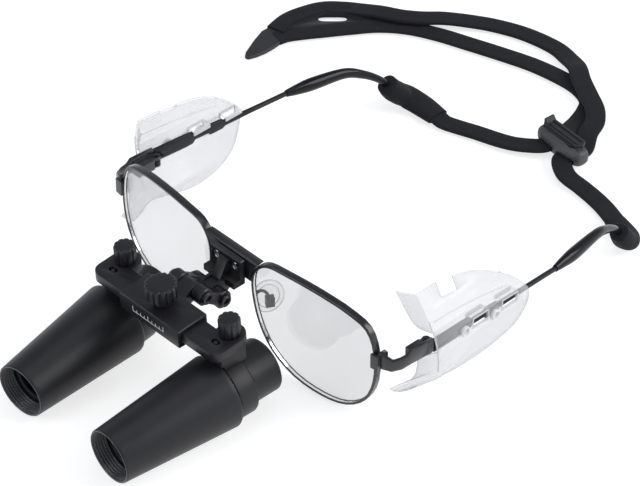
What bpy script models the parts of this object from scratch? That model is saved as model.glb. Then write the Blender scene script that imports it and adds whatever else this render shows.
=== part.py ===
"""Flip-up dental loupes: a metal spectacle frame with side shields and a head strap, and two barrels on a two-pivot mount."""

import math

import bmesh
import bpy
from mathutils import Matrix, Vector

MM = 0.001
DEG = math.pi / 180.0
SIDES = ((1, "left"), (-1, "right"))

# Clearances
FIT_GAP = 0.3 * MM
RUN_GAP = 0.2 * MM
PIN_GAP = 0.15 * MM

# Spectacle front: rims, lenses, bridge
RIM_WIDTH = 57.4 * MM
RIM_HEIGHT = 48.0 * MM
RIM_WIRE = 1.1 * MM
RIM_DEPTH = 3.0 * MM
RIM_WRAP = 7.3 * DEG
RIM_EASE = 0.3 * MM
RIM_LIFT = 0.4 * MM
NASAL_X = 10.4 * MM
GROOVE_DEPTH = 0.4 * MM
LENS_THICK = 2.0 * MM
RIM_SHAPE = (
    (0.046, 0.921), (0.133, 0.994), (0.29, 1.0), (0.448, 0.996), (0.62, 0.981), (0.769, 0.955),
    (0.926, 0.885), (0.995, 0.692), (0.991, 0.41), (0.916, 0.19), (0.764, 0.044), (0.571, 0.0),
    (0.343, 0.042), (0.159, 0.188), (0.053, 0.4), (0.002, 0.65), (0.004, 0.82),
)
RIM_STEPS = 3
BRIDGE_FRONT = -1.3 * MM
BRIDGE_BACK = 2.7 * MM
BRIDGE_TOP = RIM_LIFT + RIM_HEIGHT - 2.4 * MM
BRIDGE_LOW = BRIDGE_TOP - 10.0 * MM
BRIDGE_EASE = 0.6 * MM

# End pieces and hinges
RIM_OUT = NASAL_X + RIM_WIDTH * math.cos(RIM_WRAP)
RIM_BACK = RIM_WIDTH * math.sin(RIM_WRAP)
LUG_OUT = 7.0 * MM
LUG_THICK = 1.7 * MM
LUG_HEIGHT = 6.4 * MM
NECK_HEIGHT = 4.9 * MM
LUG_Z = 32.0 * MM
LUG_REAR_DROP = 1.6 * MM
LOCK_Z = LUG_Z - 1.0 * MM
LOCK_DEPTH = 2.7 * MM
FRONT_PLATE_IN = 1.5 * MM
FRONT_PLATE_OUT = 2.0 * MM
FRONT_PLATE_THICK = 1.1 * MM
TEMPLE_X = RIM_OUT + LUG_OUT
HINGE_X = TEMPLE_X - 2.7 * MM
HINGE_Y = RIM_BACK + 19.1 * MM
HINGE_Z = LUG_Z - 2.6 * MM
KNUCKLE_R = 1.6 * MM
KNUCKLE_TALL = 1.4 * MM
KNUCKLE_STEP = 0.3 * MM
HINGE_LOW = HINGE_Z - 2.0 * MM
HINGE_HIGH = HINGE_Z + 2.4 * MM
HINGE_BLOCK_LONG = 6.4 * MM
HINGE_SCREW_R = 0.6 * MM
SCREW_HEAD_TALL = 0.8 * MM
LOCK_SCREW_R = 0.5 * MM

# Temples, tips and side shields
TEMPLE_START = HINGE_Y + 1.0 * MM
TEMPLE_Z = LUG_Z - 2.3 * MM
TEMPLE_TOE = 0.0454
TEMPLE_FALL = 0.0512
TEMPLE_THICK = 1.5 * MM
TEMPLE_TALL = 5.8 * MM
PLATE_END = TEMPLE_START + 18.6 * MM
TAB_START = PLATE_END + 7.4 * MM
TAB_END = TAB_START + 7.0 * MM
WIRE_R = 1.0 * MM
WIRE_START = TAB_END + 15.6 * MM
WIRE_END = WIRE_START + 27.0 * MM
TIP_START = WIRE_END - 11.0 * MM
TIP_WALL = 0.7 * MM
SHIELD_THICK = 0.9 * MM
SHIELD_GAP = 0.75 * MM
SHIELD_ROUND = 40.0 * MM
SHIELD_SHIFT = 2.5 * MM
SHIELD_TILT = 3.5 * DEG
FLAP_TURN = 58.0 * DEG
TAIL_TURN = 17.0 * DEG
FOLD_LEAN = 0.15
FOLD_AHEAD = 2.06 * MM
WINDOW_LONG = 5.6 * MM
LOOP_LONG = 6.0 * MM
LOOP_WALL = 1.1 * MM
LOOP_AT = (PLATE_END + 4.2 * MM, TAB_END + 4.6 * MM)

# Nose pads
PAD_TALL = 15.0 * MM
PAD_WIDE = 12.0 * MM
PAD_THICK = 2.2 * MM
PAD_WIRE_R = 0.6 * MM

# Head strap
STRAP_WIDE = 7.8 * MM
STRAP_THICK = 2.0 * MM
SLEEVE_WALL = 0.9 * MM
SLEEVE_WIDE = 10.2 * MM
SLEEVE_FROM = 6
SLEEVE_END_GAP = 0.6 * MM
LOCK_AT = (3.8 * MM, 166.3 * MM)
LOCK_TURN = -5.0 * DEG
LOCK_LONG = 24.4 * MM
LOCK_DEEP = 9.0 * MM
LOCK_TALL = 8.8 * MM
LOCK_GROUND = 0.3 * MM
LOCK_HOLE_X = 5.7 * MM
LOCK_HOLE_Z = 3.3 * MM
POCKET_LONG = 14.0 * MM
POCKET_WIDE = 4.4 * MM
POCKET_LOW = 6.3 * MM
BUTTON_TRAVEL = 0.9 * MM
SPRING_R = 1.5 * MM
SPRING_WIRE_R = 0.2 * MM
SPRING_TURNS = 2

# Two-pivot flip-up mount
MOUNT_TILT = 4.2 * DEG
FRONT_PIVOT_Y = -21.0 * MM
PIVOT_STEP_Y = 8.6 * MM
PIVOT_STEP_Z = 6.07 * MM
PIN_R = 1.5 * MM
PIN_HEAD_R = 2.5 * MM
PIN_HEAD_TALL = 0.9 * MM
FRONT_EYE_R = 3.5 * MM
REAR_EYE_R = 3.6 * MM
LINK_WAIST = 44.0 * DEG
TONGUE_HALF = 3.4 * MM
LINK_HALF = 8.5 * MM
WEB_HALF_TALL = 2.2 * MM
PLATE_HALF = 8.0 * MM
PLATE_THICK = 2.6 * MM
PLATE_TOP = BRIDGE_TOP - 0.6 * MM
BASE_LOW = 34.7 * MM
BASE_TALL = 2.6 * MM
BASE_FRONT = -7.4 * MM
RECESS_SIDE = 4.3 * MM
RECESS_DEEP = 0.8 * MM
MOUNT_SCREW_X = 4.8 * MM
MOUNT_SCREW_Z = BRIDGE_TOP - 4.4 * MM
MOUNT_SCREW_R = 1.0 * MM
MOUNT_SCREW_HEAD_R = 1.8 * MM

# Slide block and arms, in the tilted frame of the front pivot
BLOCK_HALF = 15.8 * MM
BLOCK_FRONT = -20.0 * MM
BLOCK_REAR = -6.15 * MM
BLOCK_LOW = -6.45 * MM
BLOCK_TOP = 1.25 * MM
BLOCK_WALL = 1.6 * MM
COVER_THICK = 1.5 * MM
ARM_TOP = -0.42 * MM
ARM_THICK = 4.08 * MM
ARM_LOW = ARM_TOP - ARM_THICK
ARM_END = 33.3 * MM
ARM_CORNER = 4.0 * MM
ARM_KNOB_X = 27.7 * MM
ARM_KNOB_Y = -6.1 * MM
ARM_LOBE_R = ARM_END - ARM_KNOB_X
ARM_WIDE_FROM = 10.5 * MM
TONGUE_PAST = 5.5 * MM
GUIDE_R = 6.6 * MM
GUIDE_PIN_R = 0.9 * MM
GUIDE_HALF_TURN = 6.0 * DEG
TEETH = 8
GEAR_R = 2.4 * MM
GEAR_TIP = 0.45 * MM
GEAR_ROOT = 0.55 * MM
RACK_TIP = 0.38 * MM
RACK_ROOT = 0.72 * MM
GEAR_BORE_R = 1.3 * MM

# Knobs
PD_KNOB_R = 6.0 * MM
PD_KNOB_LOW = 4.7 * MM
PD_KNOB_TALL = 6.0 * MM
PD_NECK_R = 3.4 * MM
PD_SHAFT_R = 2.3 * MM
PD_FLUTES = 16
ARM_KNOB_R = 4.1 * MM
ARM_KNOB_TALL = 7.0 * MM
ARM_KNOB_STEM_R = 1.4 * MM
ARM_FLUTES = 10
FLUTE_DEPTH = 0.09
KNOB_EASE = 0.6 * MM
STEM_DEPTH = 4.4 * MM

# Barrels: lengths along the axis from the front edge
BARREL_TURN = 3.9 * DEG
AXIS_DROP = 23.8 * MM
KNOB_FROM_FRONT = 56.5 * MM
FRONT_R = 10.65 * MM
SHOULDER_R = 14.4 * MM
SHOULDER_AT = 48.2 * MM
SHOULDER_EASE = 1.2 * MM
FRONT_BORE_R = 9.65 * MM
THREAD_DEPTH = 0.35 * MM
THREAD_PITCH = 1.3 * MM
THREADS = 4
SEAT_R = 8.9 * MM
SEAT_FROM = 6.4 * MM
SEAT_TO = 12.8 * MM
SEAT_LIP = 0.8 * MM
REAR_BORE_R = 12.3 * MM
COLLAR_R = 12.7 * MM
COLLAR_LONG = 8.2 * MM
EYEPIECE_R = 10.45 * MM
BARREL_LONG = 70.5 * MM
EYEPIECE_EASE = 1.6 * MM
EYE_BORE_R = 9.0 * MM
EYE_HOLE_R = 7.5 * MM
EYE_LIP = 4.6 * MM
SPIGOT_LONG = 3.4 * MM
PRISM_FROM = 30.0 * MM
PRISM_LONG = 14.0 * MM
FOOT_HALF = 4.2 * MM
FOOT_FRONT = -8.3 * MM
FOOT_REAR = 3.6 * MM

AROUND = 36
FINE = 20

shoulder_y = ARM_KNOB_Y - (KNOB_FROM_FRONT - SHOULDER_AT)
FRONT_PIVOT_Z = (AXIS_DROP + SHOULDER_R) * math.cos(MOUNT_TILT) - shoulder_y * math.sin(MOUNT_TILT)
REAR_PIVOT_Y = FRONT_PIVOT_Y + PIVOT_STEP_Y
REAR_PIVOT_Z = FRONT_PIVOT_Z - PIVOT_STEP_Z
PLATE_BACK = BRIDGE_FRONT - FIT_GAP
PLATE_FRONT = PLATE_BACK - PLATE_THICK
CHANNEL_FRONT = BLOCK_FRONT + BLOCK_WALL
CHANNEL_REAR = BLOCK_REAR - BLOCK_WALL
GEAR_Y = (CHANNEL_FRONT + CHANNEL_REAR) / 2
PIN_HOLE_R = PIN_R + PIN_GAP


def clear_scene():
    for item in list(bpy.data.objects):
        bpy.data.objects.remove(item)


def pivot(name, parent=None, location=(0, 0, 0), rotation=(0, 0, 0)):
    empty = bpy.data.objects.new(name, None)
    empty.empty_display_size = 5 * MM
    bpy.context.scene.collection.objects.link(empty)
    empty.parent = parent
    empty.location = location
    empty.rotation_euler = rotation
    return empty


def solid(name, mesh_data, parent, location=(0, 0, 0), rotation=(0, 0, 0)):
    bmesh.ops.recalc_face_normals(mesh_data, faces=mesh_data.faces)
    mesh = bpy.data.meshes.new(name)
    mesh_data.to_mesh(mesh)
    mesh_data.free()
    item = bpy.data.objects.new(name, mesh)
    bpy.context.scene.collection.objects.link(item)
    item.parent = parent
    item.location = location
    item.rotation_euler = rotation
    return item


def combine(target, tool, operation):
    tool.hide_render = True
    tool.display_type = "WIRE"
    modifier = target.modifiers.new(operation.lower() + "_" + tool.name, "BOOLEAN")
    modifier.operation = operation
    modifier.solver = "EXACT"
    modifier.object = tool


def cut(target, tool):
    combine(target, tool, "DIFFERENCE")


def join(target, tool):
    combine(target, tool, "UNION")


def ease(target, width, segments=1):
    modifier = target.modifiers.new("ease", "BEVEL")
    modifier.width = width
    modifier.segments = segments
    modifier.limit_method = "ANGLE"
    modifier.angle_limit = 40 * DEG


def loft(rings, closed=False):
    """Quads between rings of equal length, with a face over each end unless the rings close on themselves."""
    data = bmesh.new()
    rows = [[data.verts.new(point) for point in ring] for ring in rings]
    pairs = list(zip(rows, rows[1:]))
    if closed:
        pairs.append((rows[-1], rows[0]))
    for low, high in pairs:
        for i in range(len(low)):
            j = (i + 1) % len(low)
            data.faces.new((low[i], low[j], high[j], high[i]))
    if not closed:
        data.faces.new(reversed(rows[0]))
        data.faces.new(rows[-1])
    return data


def slab(outline, low, high, axes="XYZ"):
    """An outline in the first two named axes, extruded along the third."""
    order = ["XYZ".index(letter) for letter in axes]

    def place(point, along):
        values = [0.0, 0.0, 0.0]
        for axis, value in zip(order, (point[0], point[1], along)):
            values[axis] = value
        return values

    return loft([[place(p, low) for p in outline], [place(p, high) for p in outline]])


def block(low, high):
    outline = ((low[0], low[1]), (high[0], low[1]), (high[0], high[1]), (low[0], high[1]))
    return slab(outline, low[2], high[2])


def circle(radius, count, centre=(0, 0), start=0.0, sweep=2 * math.pi, ends=False):
    steps = count - 1 if ends else count
    turns = [start + sweep * i / steps for i in range(count)]
    return [(centre[0] + radius * math.cos(t), centre[1] + radius * math.sin(t)) for t in turns]


def turned(profile, count, axes="XYZ", closed=False):
    """A profile of (radius, along) pairs turned about the third named axis."""
    order = ["XYZ".index(letter) for letter in axes]
    rings = []
    for radius, along in profile:
        ring = []
        for first, second in circle(radius, count):
            values = [0.0, 0.0, 0.0]
            for axis, value in zip(order, (first, second, along)):
                values[axis] = value
            ring.append(values)
        rings.append(ring)
    return loft(rings, closed)


def rounded(width, height, power=2.0, count=12):
    """A section between an ellipse (power 2) and a rectangle (high power)."""
    points = []
    for first, second in circle(1.0, count, start=math.pi / count):
        a = math.copysign(abs(first) ** (2 / power), first) * width / 2
        b = math.copysign(abs(second) ** (2 / power), second) * height / 2
        points.append((a, b))
    return points


def swept(path, sections):
    """Rings of sections across a path: first value to the side, second value upward."""
    rings = []
    for i, point in enumerate(path):
        along = (path[min(i + 1, len(path) - 1)] - path[max(i - 1, 0)]).normalized()
        aside = along.cross(Vector((0, 0, 1))).normalized()
        upward = aside.cross(along)
        rings.append([point + aside * a + upward * b for a, b in sections[i]])
    return rings


def smooth_path(points, steps):
    """A curve through the points, with this many steps between two of them."""
    points = [Vector(p) for p in points]
    found = []
    for i in range(len(points) - 1):
        before = points[max(i - 1, 0)]
        start = points[i]
        end = points[i + 1]
        after = points[min(i + 2, len(points) - 1)]
        for k in range(steps):
            found.append(curve_point(before, start, end, after, k / steps))
    return found + [points[-1]]


def curve_point(before, start, end, after, t):
    return 0.5 * (
        2 * start
        + (end - before) * t
        + (2 * before - 5 * start + 4 * end - after) * t ** 2
        + (3 * start - before - 3 * end + after) * t ** 3
    )


def two_eyes(first, first_r, second, second_r, waist, count=16):
    """The outline of two round eyes joined by a narrower waist, which meets each circle at this angle from the line between them."""
    (y1, z1), (y2, z2) = first, second
    toward = math.atan2(z2 - z1, y2 - y1)
    near = circle(first_r, count, first, toward + waist, 2 * math.pi - 2 * waist, True)
    far = circle(second_r, count, second, toward + math.pi + waist, 2 * math.pi - 2 * waist, True)
    return near + far


def rod(name, radius, low, high, axes, parent, location=(0, 0, 0), count=FINE):
    return solid(name, turned([(radius, low), (radius, high)], count, axes), parent, location)


# Rims and lenses
def rim_outline(offset):
    """The rim's closed outline in its own plane, moved outward by the offset."""
    corners = [Vector((u * RIM_WIDTH, v * RIM_HEIGHT, 0)) for u, v in RIM_SHAPE]
    count = len(corners)
    points = []
    for i in range(count):
        around = [corners[(i + k) % count] for k in (-1, 0, 1, 2)]
        points += [curve_point(*around, k / RIM_STEPS) for k in range(RIM_STEPS)]
    found = []
    for i, point in enumerate(points):
        along = points[(i + 1) % len(points)] - points[i - 1]
        outward = Vector((-along.y, along.x, 0)).normalized()
        found.append(point + outward * offset)
    return found


def rim_section():
    half = RIM_DEPTH / 2
    slot = LENS_THICK / 2 + PIN_GAP
    bed = GROOVE_DEPTH - RIM_WIRE
    return (
        (-RIM_EASE, -half), (0, -half + RIM_EASE), (0, half - RIM_EASE), (-RIM_EASE, half), (-RIM_WIRE, half),
        (-RIM_WIRE, slot), (bed, slot), (bed, -slot), (-RIM_WIRE, -slot), (-RIM_WIRE, -half),
    )


def rim_pivot(root, side, word):
    return pivot("rim_plane_" + word, root, (side * NASAL_X, 0, RIM_LIFT), (0, 0, side * RIM_WRAP))


def rim_and_lens(plane, side, word):
    offsets = [(rim_outline(n), d) for n, d in rim_section()]
    rings = [[(side * p.x, d, p.y) for p in outline] for outline, d in offsets]
    solid("rim_" + word, loft(rings, closed=True), plane)
    edge = rim_outline(GROOVE_DEPTH - RIM_WIRE - PIN_GAP)
    outline = [(side * p.x, p.y) for p in edge]
    solid("lens_" + word, slab(outline, -LENS_THICK / 2, LENS_THICK / 2, "XZY"), plane)


def rim_cutter(plane, side, name):
    outline = [(side * p.x, p.y) for p in rim_outline(FIT_GAP)]
    return solid(name, slab(outline, -8 * MM, 8 * MM, "XZY"), plane)


def bridge(root, planes):
    reach = NASAL_X + 5 * MM
    bar = solid("bridge_bar", block((-reach, BRIDGE_FRONT, BRIDGE_LOW), (reach, BRIDGE_BACK, BRIDGE_TOP)), root)
    ease(bar, BRIDGE_EASE)
    for side, word in SIDES:
        cut(bar, rim_cutter(planes[word], side, "cut_bridge_" + word))
        hole = rod("hole_bridge_" + word, MOUNT_SCREW_R + PIN_GAP, -9 * MM, 9 * MM, "XZY", root,
                   (side * MOUNT_SCREW_X, 0, MOUNT_SCREW_Z))
        cut(bar, hole)


# End pieces with their rim locks and hinge knuckles
def lug_stations(side):
    """Points along the lug with its height there: full at the rim lock, a lower neck, then the hinge plate."""
    lock_y = RIM_BACK - 0.4 * MM
    sag = (LUG_HEIGHT - NECK_HEIGHT) / 2
    stations = (
        (RIM_OUT + FIT_GAP + 0.5 * MM, lock_y, LOCK_Z, LUG_HEIGHT),
        (RIM_OUT + FIT_GAP + 2.0 * MM, lock_y + 0.2 * MM, LOCK_Z, LUG_HEIGHT),
        (TEMPLE_X - 1.5 * MM, lock_y + 1.8 * MM, LOCK_Z - sag, NECK_HEIGHT),
        (TEMPLE_X - 0.3 * MM, lock_y + 4.8 * MM, LOCK_Z - sag, NECK_HEIGHT),
        (TEMPLE_X, lock_y + 8.0 * MM, LUG_Z - 0.8 * MM - sag, NECK_HEIGHT),
        (TEMPLE_X, lock_y + 9.2 * MM, LUG_Z - 0.8 * MM, LUG_HEIGHT),
        (TEMPLE_X, HINGE_Y + 0.2 * MM, LUG_Z - LUG_REAR_DROP, LUG_HEIGHT),
    )
    return [(Vector((side * x, y, z)), height) for x, y, z, height in stations]


def end_piece(root, plane, side, word):
    stations = lug_stations(side)
    path = [point for point, _ in stations]
    sections = [rounded(LUG_THICK, height, 6, 8) for _, height in stations]
    lug = solid("endpiece_" + word, loft(swept(path, sections)), root)
    start = path[0]
    for name, low, high in lug_blocks(side, start):
        join(lug, solid(name + word, block(low, high), root))
    for name, low, high in front_plate():
        ends = sorted((side * low[0], side * high[0]))
        join(lug, solid(name + word, block((ends[0], low[1], low[2]), (ends[1], high[1], high[2])), plane))
    for name, low, high in (("knuckle_low_", HINGE_LOW, HINGE_Z - KNUCKLE_TALL / 2 - KNUCKLE_STEP),
                            ("knuckle_high_", HINGE_Z + KNUCKLE_TALL / 2 + KNUCKLE_STEP, HINGE_HIGH)):
        join(lug, rod(name + word, KNUCKLE_R, low, high, "XYZ", root, (side * HINGE_X, HINGE_Y, 0)))
    hole = rod("hinge_hole_" + word, HINGE_SCREW_R + PIN_GAP, 0, 60 * MM, "XYZ", root, (side * HINGE_X, HINGE_Y, 0))
    cut(lug, hole)
    screw = [(HINGE_SCREW_R, HINGE_LOW), (HINGE_SCREW_R, HINGE_HIGH + PIN_GAP),
             (2 * HINGE_SCREW_R, HINGE_HIGH + PIN_GAP), (2 * HINGE_SCREW_R, HINGE_HIGH + PIN_GAP + SCREW_HEAD_TALL)]
    solid("hinge_screw_" + word, turned(screw, 16), root, (side * HINGE_X, HINGE_Y, 0))
    lock_screw(root, lug, side, word, start)


def front_plate():
    """The plate in front of the rim and the bridge from it to the lug, in the plane of the rim."""
    front = -RIM_DEPTH / 2 - FIT_GAP
    half = LUG_HEIGHT / 2 - 0.1 * MM
    middle = LOCK_Z - RIM_LIFT
    inset = 0.1 * MM
    near = RIM_WIDTH + FIT_GAP + inset
    yield ("lock_plate_", (RIM_WIDTH - FRONT_PLATE_IN, front - FRONT_PLATE_THICK, middle - half),
           (RIM_WIDTH + FRONT_PLATE_OUT, front, middle + half))
    yield ("lock_neck_", (near, front - FRONT_PLATE_THICK + inset, middle - half + inset),
           (RIM_WIDTH + FRONT_PLATE_OUT - inset, -2 * inset, middle + half - inset))


def lug_blocks(side, start):
    """The rim lock behind the rim, the hinge block, and the two webs that carry the knuckles."""
    half = LUG_HEIGHT / 2
    inner = HINGE_X - KNUCKLE_R
    outer = TEMPLE_X - LUG_THICK / 2 + 0.4 * MM
    gap = KNUCKLE_TALL / 2 + KNUCKLE_STEP
    rear = HINGE_Y - 2.2 * MM
    inset = 0.1 * MM
    lock = (abs(start.x) - 0.35 * MM, start.y + 0.3 * MM, LOCK_Z - half + 0.3 * MM)
    lock_far = (abs(start.x) + 1.5 * MM, start.y + LOCK_DEPTH, LOCK_Z + half)
    web_near = (inner + 3 * inset, rear - MM)
    web_far = (outer - inset, HINGE_Y)
    boxes = (
        ("lock_block_", lock, lock_far),
        ("hinge_block_", (inner - inset, rear - HINGE_BLOCK_LONG, HINGE_LOW), (outer, rear, HINGE_HIGH)),
        ("web_low_", web_near + (HINGE_LOW + inset,), web_far + (HINGE_Z - gap - inset,)),
        ("web_high_", web_near + (HINGE_Z + gap + inset,), web_far + (HINGE_HIGH - inset,)),
    )
    for name, low, high in boxes:
        ends = sorted((side * low[0], side * high[0]))
        yield name, (ends[0], low[1], low[2]), (ends[1], high[1], high[2])


def lock_screw(root, lug, side, word, start):
    centre = (start.x + side * 0.6 * MM, start.y + LOCK_DEPTH - LOCK_SCREW_R - 0.5 * MM, 0)
    top = LOCK_Z + LUG_HEIGHT / 2
    hole = rod("lock_hole_" + word, LOCK_SCREW_R + PIN_GAP, top - 3 * MM, top + 2 * MM, "XYZ", root, centre, 12)
    cut(lug, hole)
    rod("rim_screw_" + word, LOCK_SCREW_R, top - 3 * MM + PIN_GAP, top + 0.3 * MM, "XYZ", root, centre, 12)


# Temples, tips and shields
def temple_point(side, y, z_off=0.0):
    run = y - TEMPLE_START
    return Vector((side * (TEMPLE_X - TEMPLE_TOE * run), y, TEMPLE_Z - TEMPLE_FALL * run + z_off))


def temple_stations():
    """Along the temple: how far back, height, thickness and roundness. Two plates, a narrow waist after each, then a wire."""
    waist = 0.42 * TEMPLE_TALL
    return (
        (TEMPLE_START, TEMPLE_TALL, TEMPLE_THICK, 6), (PLATE_END - 3 * MM, TEMPLE_TALL, TEMPLE_THICK, 6),
        (PLATE_END, 0.9 * TEMPLE_TALL, TEMPLE_THICK, 6), (PLATE_END + 1 * MM, waist, TEMPLE_THICK, 5),
        (TAB_START, waist, TEMPLE_THICK, 5), (TAB_START + 1 * MM, 0.8 * TEMPLE_TALL, TEMPLE_THICK, 6),
        (TAB_END, 0.72 * TEMPLE_TALL, TEMPLE_THICK, 6), (TAB_END + 1 * MM, waist, TEMPLE_THICK, 5),
        (WIRE_START, 2 * WIRE_R, 2 * WIRE_R, 2), (WIRE_END, 2 * WIRE_R, 2 * WIRE_R, 2),
    )


def temple_tall(y):
    stations = temple_stations()
    for first, second in zip(stations, stations[1:]):
        if y <= second[0]:
            share = (y - first[0]) / (second[0] - first[0])
            return first[1] + (second[1] - first[1]) * share
    return 2 * WIRE_R


def temple(hinge, side, word):
    axis = Vector((side * HINGE_X, HINGE_Y, 0))
    path = [temple_point(side, station[0]) - axis for station in temple_stations()]
    sections = [rounded(thick, tall, power) for _, tall, thick, power in temple_stations()]
    bar = solid("temple_" + word, loft(swept(path, sections)), hinge)
    half = KNUCKLE_TALL / 2
    ends = sorted((0, side * (TEMPLE_X - HINGE_X)))
    web = half - 0.15 * MM
    arm = block((ends[0], 0.2 * MM, HINGE_Z - web), (ends[1], 4 * MM, HINGE_Z + web))
    join(bar, solid("temple_arm_" + word, arm, hinge))
    join(bar, rod("temple_knuckle_" + word, KNUCKLE_R, HINGE_Z - half, HINGE_Z + half, "XYZ", hinge))
    cut(bar, rod("temple_hole_" + word, HINGE_SCREW_R + PIN_GAP, 0, 60 * MM, "XYZ", hinge))


TIP_BEND = (
    (-7.5, 91.6, 24.9), (-9.8, 99.6, 21.5), (-11.5, 105.6, 17.3), (-12.6, 110.0, 12.7), (-13.0, 112.0, 9.6),
)


def behind_hinge(side, point):
    """A point given in millimetres: out from the temple's start, behind the hinge axis, and above the ground."""
    out, back, z = point
    return Vector((side * (TEMPLE_X + out * MM), HINGE_Y + back * MM, z * MM))


def tip_stations(side):
    """Path, width and height of the tip, from its mouth on the wire to its rounded end."""
    mouth = temple_point(side, TIP_START)
    deep = temple_point(side, WIRE_END + 1 * MM)
    path = [mouth, temple_point(side, TIP_START + 5 * MM), deep]
    path += [behind_hinge(side, point) for point in TIP_BEND]
    end = path[-1] + (path[-1] - path[-2]).normalized() * 0.8 * MM
    bore = 2 * (WIRE_R + FIT_GAP + TIP_WALL)
    wide = (bore, 4.8 * MM, 6.2 * MM, 5.5 * MM, 4.5 * MM, 4.0 * MM, 3.7 * MM, 3.3 * MM, 2.0 * MM)
    return path + [end], wide


def temple_tip(hinge, side, word):
    axis = Vector((side * HINGE_X, HINGE_Y, 0))
    path, wide = tip_stations(side)
    path = [point - axis for point in path]
    outer = swept(path, [rounded(0.84 * w, w) for w in wide])
    bore = rounded(2 * (WIRE_R + FIT_GAP), 2 * (WIRE_R + FIT_GAP))
    inner = swept([path[0], temple_point(side, WIRE_END + FIT_GAP) - axis], [bore, bore])
    solid("temple_tip_" + word, loft(inner[::-1] + outer), hinge)


# Each point of a shield's flat outline: behind the hinge axis, and above the temple
SHIELD_OUTLINE = (
    (-12.9, 22.5), (-5.0, 22.3), (4.5, 22.1), (4.7, 16.8), (12.8, 15.7), (12.6, 20.6), (20.6, 18.7), (26.9, 16.1),
    (33.6, 12.0), (40.3, 6.8), (45.4, 0.6), (46.5, -3.6), (45.0, -8.7), (40.8, -14.6), (35.0, -17.8), (28.4, -19.6),
    (19.4, -20.4), (11.0, -19.4), (5.0, -18.0), (-1.7, -17.4), (-6.9, -18.0), (-12.4, -18.0), (-16.2, -16.0),
    (-19.0, -13.4), (-15.2, -12.9), (-10.9, -12.0), (-9.5, -9.7), (-9.6, -5.0), (-0.7, -4.6), (-2.3, 7.1),
    (-8.2, 8.9), (-10.9, 13.3),
)


def fold_line(z):
    """How far back the shield's fold lies at each height."""
    return HINGE_Y - FOLD_AHEAD - (z - TEMPLE_Z) * FOLD_LEAN


def shield_point(side, y, z):
    """From the flat outline to the domed panel, with the flap and the tail turned inward ahead of the fold."""
    ahead = max(0.0, fold_line(z) - y)
    turn = FLAP_TURN if z > TEMPLE_Z else TAIL_TURN
    y += ahead * (1 - math.cos(turn))
    base = temple_point(1, y)
    x = base.x + TEMPLE_THICK / 2 + SHIELD_GAP + SHIELD_THICK / 2
    x -= (z - base.z) ** 2 / (2 * SHIELD_ROUND) + ahead * math.sin(turn)
    x -= side * (z - base.z) * math.tan(SHIELD_TILT)
    return Vector((side * x, y + side * SHIELD_SHIFT, z))


def split(data, point, normal):
    everything = data.verts[:] + data.edges[:] + data.faces[:]
    bmesh.ops.bisect_plane(data, geom=everything, plane_co=point, plane_no=Vector(normal).normalized())


def shield_sheet(side, axis):
    data = bmesh.new()
    corners = [data.verts.new((0, HINGE_Y + back * MM, TEMPLE_Z + up * MM)) for back, up in SHIELD_OUTLINE]
    data.faces.new(corners)
    for up in range(-20, 21, 5):
        split(data, (0, 0, TEMPLE_Z + up * MM), (0, 0, 1))
    split(data, (0, fold_line(TEMPLE_Z), TEMPLE_Z), (0, 1, FOLD_LEAN))
    bmesh.ops.triangulate(data, faces=data.faces[:])
    for vert in data.verts:
        vert.co = shield_point(side, vert.co.y, vert.co.z) - axis
    return data


def shield(hinge, side, word):
    axis = Vector((side * HINGE_X, HINGE_Y, 0))
    panel = solid("side_shield_" + word, shield_sheet(side, axis), hinge)
    thicken = panel.modifiers.new("thicken", "SOLIDIFY")
    thicken.thickness = SHIELD_THICK
    thicken.offset = 0
    thicken.use_even_offset = True
    for index, y in enumerate(LOOP_AT):
        centre = temple_point(side, y) - axis
        half = temple_tall(y) / 2 + 2 * FIT_GAP
        inner = side * (TEMPLE_THICK / 2 + FIT_GAP)
        reach = side * (TEMPLE_THICK / 2 + SHIELD_GAP + SHIELD_THICK * 0.5)
        name = word + str(index)
        window = sided_block(centre, (side * -0.4 * MM, side * 6 * MM), WINDOW_LONG / 2, half)
        cut(panel, solid("window_" + name, window, hinge))
        loop = sided_block(centre, (-inner - side * LOOP_WALL, reach), LOOP_LONG / 2, half + LOOP_WALL)
        ring = solid("loop_" + name, loop, hinge)
        gap = sided_block(centre, (-inner, side * 6 * MM), LOOP_LONG, half)
        cut(ring, solid("loop_gap_" + name, gap, hinge))
        join(panel, ring)


def sided_block(centre, x_ends, half_y, half_z):
    low, high = sorted(x_ends)
    return block((centre.x + low, centre.y - half_y, centre.z - half_z),
                 (centre.x + high, centre.y + half_y, centre.z + half_z))


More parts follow.
